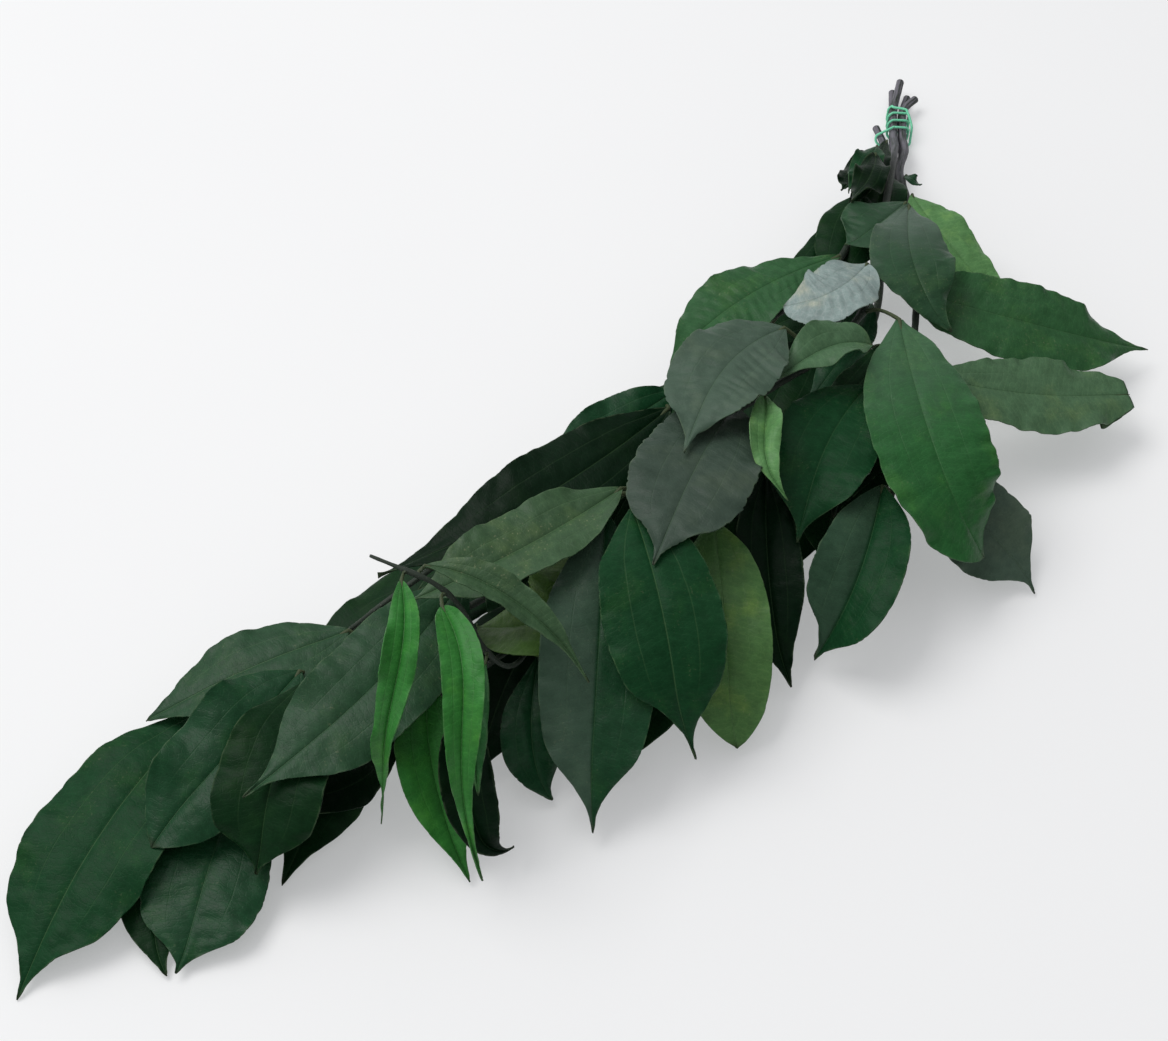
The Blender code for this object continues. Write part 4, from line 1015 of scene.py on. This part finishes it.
for stem, grids in blades.items():
    points, faces, finishes, first = [], [], [], 0
    for grid, values, finish in grids:
        rows, cols = grid.shape[:2]
        points.append(grid.reshape(-1, 3))
        faces.append(grid_faces(rows, cols, first))
        finishes += [finish] * len(faces[-1])
        first += rows * cols
    values = {key: np.concatenate([values[key].reshape(-1, 3) for grid, values, finish in grids])
              for key in ("place", "measure", "habit", "marks", "dye_and_shade")}
    item = make_item(f"branch_{stem}_leaves", np.concatenate(points),
                     np.concatenate(faces).tolist(), values)
    for material in (leaf_face, leaf_back, leaf_dull, leaf_back):
        item.data.materials.append(material)
    item.data.polygons.foreach_set("material_index", finishes)
    press.run(item, extra=give_thickness)
    # nothing of a blade goes into the table
    places = np.empty(3 * len(item.data.vertices), np.float32)
    item.data.vertices.foreach_get("co", places)
    places[2::3] = np.maximum(places[2::3], 0.02 * MM)
    item.data.vertices.foreach_set("co", places)
    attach(item, "root")
    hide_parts(f"branch_{stem}")

# Wood of each branch: its stem and twigs, the leaf stalks with the ribs that they become, and
# the resting buds that sit in the stalks' angles.

bud_setter = Shaper("bud_setter", {"Bud Length": 0.0022, "Bud Width": 0.0007,
                                   "Bark": bark.material})
cone = bud_setter.node("GeometryNodeMeshCone", {
    "Vertices": 8, "Side Segments": 3, "Radius Top": 0.00015,
    "Radius Bottom": bud_setter.given["Bud Width"], "Depth": bud_setter.given["Bud Length"]},
    fill_type="NGON")
facing = bud_setter.node("FunctionNodeAlignRotationToVector", {
    "Vector": bud_setter.named("aim", "FLOAT_VECTOR")}, axis="Z")
buds = bud_setter.node("GeometryNodeInstanceOnPoints", {
    "Points": bud_setter.given["Geometry"], "Instance": cone, "Rotation": facing})
buds = bud_setter.node("GeometryNodeRealizeInstances", {0: buds})
for key, value in (("green", 0.6), ("cut", 1.0), ("run_mm", AWAY_FROM_TIE), ("round", 0.0)):
    buds = bud_setter.store(buds, key, value)
bud_setter.finish(buds, "Bark")
SWELL, SWELL_REACH = 0.45, 3.5      # of a stem where a stalk leaves it
BUD_AWAY, BUD_ABOVE = 2.0, 0.9      # of a bud's foot from there

for stem, tubes in chains.items():
    for tube in tubes:
        if tube["green"][0] > 0:
            continue
        # the stem swells where a stalk leaves it
        for root, base in roots[stem]:
            off = np.linalg.norm(tube["path"][:, :3] - root, axis=1)
            swell = SWELL * np.exp(-(off / SWELL_REACH) ** 2) * (tube["cut"] >= 1)
            tube["path"][:, 3] = tube["path"][:, 3] + swell
    points, edges, first = [], [], 0
    for tube in tubes:
        count = len(tube["path"])
        points.append(tube["path"])
        edges += [(first + k, first + k + 1) for k in range(count - 1)]
        first += count
    points = np.concatenate(points)
    values = {key: np.concatenate([tube[key] for tube in tubes]) for key in ("cut", "green")}
    values["run_mm"] = np.concatenate([tube["run"] for tube in tubes])
    values["thick"] = points[:, 3] * MM
    item = make_item(f"branch_{stem}_wood", points[:, :3], [], values, edges)
    bark_tube.run(item)
    buds_at = []
    for root, base in roots[stem]:
        away = unit(base - root)
        buds_at.append((root + away * BUD_AWAY + UP * BUD_ABOVE, unit(away + UP * 0.6)))
    spots = make_item(f"branch_{stem}_buds", [spot for spot, aim_at in buds_at], [],
                      {"aim": [aim_at for spot, aim_at in buds_at]})
    bud_setter.run(spots)
    for piece in (item, spots):
        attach(piece, "root")
        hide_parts(f"branch_{stem}")

# The tie: one ring of soft green elastic, wound four times round the stems just above the
# leaves. It is round in section, matt and a little dusty.

CORD_RADIUS = 0.65
CORD_SEAT = 3.1
CORD_TURNS = 3.6
CORD_STEPS = 20
CORD_START = 110.0
CORD_ALONG = (-19.0, 3.0)
CORD_BACK_STEPS = 10    # of the last run, which goes back over the turns
CORD_CROSSING = 1.7     # how far out it stands there


def cord_path(paths):
    """Closed line of the elastic band round the stems."""
    c, s = TIE_WAY
    lines = {}
    for stem, runs in paths.items():
        run = runs[0]
        along = c * run[:, 0] + s * run[:, 1]
        across = c * run[:, 1] - s * run[:, 0]
        lines[stem] = (along, across, run[:, 2])

    def seat(along, turns, raised):
        angle = math.radians(CORD_START + 360 * turns)
        direction = np.array((math.cos(angle), math.sin(angle)))
        best = (-math.inf, None)
        for stem, (way, across, height) in lines.items():
            if stem == 3 and along < -1:
                # the third stem's butt stands outside the upper turns
                continue
            centre = np.array((np.interp(along, way, across), np.interp(along, way, height)))
            reach = np.dot(centre, direction)
            if reach > best[0]:
                best = (reach, centre)
        point = best[1] + (CORD_SEAT + raised) * direction
        return from_tie(along, point[0], point[1])

    first, last = CORD_ALONG
    steps = int(CORD_TURNS * CORD_STEPS)
    points = [seat(first + (last - first) * k / steps, k / CORD_STEPS, 0) for k in range(steps)]
    for k in range(CORD_BACK_STEPS):
        t = k / CORD_BACK_STEPS
        raised = CORD_CROSSING * min(1, t / 0.1, (1 - t) / 0.2)
        points.append(seat(last + (first - last) * t, CORD_TURNS + (4 - CORD_TURNS) * t, raised))
    return np.array(points)


elastic = Finish("green_elastic", gloss=0.3)
where = elastic.node("ShaderNodeTexCoord", out="Object")
dust = elastic.noise(where, 900.0, 3.0)
worn = elastic.noise(where, 260.0, 3.0)
tint = elastic.mix(worn, (0.13, 0.56, 0.33), (0.23, 0.74, 0.47))
tint = elastic.mix(elastic.between(dust, 0.5, 0.75) * 0.35, tint, (0.36, 0.68, 0.50))
elastic.set("Base Color", tint)
elastic.set("Roughness", 0.5 + dust * 0.25)
elastic.relief(dust * 0.05)

elastic_cord = Shaper("elastic_cord", {"Sides": 12, "Radius": CORD_RADIUS * MM,
                                       "Elastic": elastic.material})
line, ring = elastic_cord.line_and_ring(elastic_cord.given["Radius"])
tube = elastic_cord.node("GeometryNodeCurveToMesh", {"Curve": line, "Profile Curve": ring})
elastic_cord.finish(tube, "Elastic")

cord = cord_path(paths)
lap = np.vstack([cord[-2:], cord, cord[:3]])
stations = np.arange(len(lap)) - 2.0
smooth = ease(stations, lap, np.arange(0, len(cord), 0.25))
count = len(smooth)
band = make_item("elastic_tie", smooth, [], {}, [(k, (k + 1) % count) for k in range(count)])
elastic_cord.run(band)
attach(band, "root")
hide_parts("tie_band")
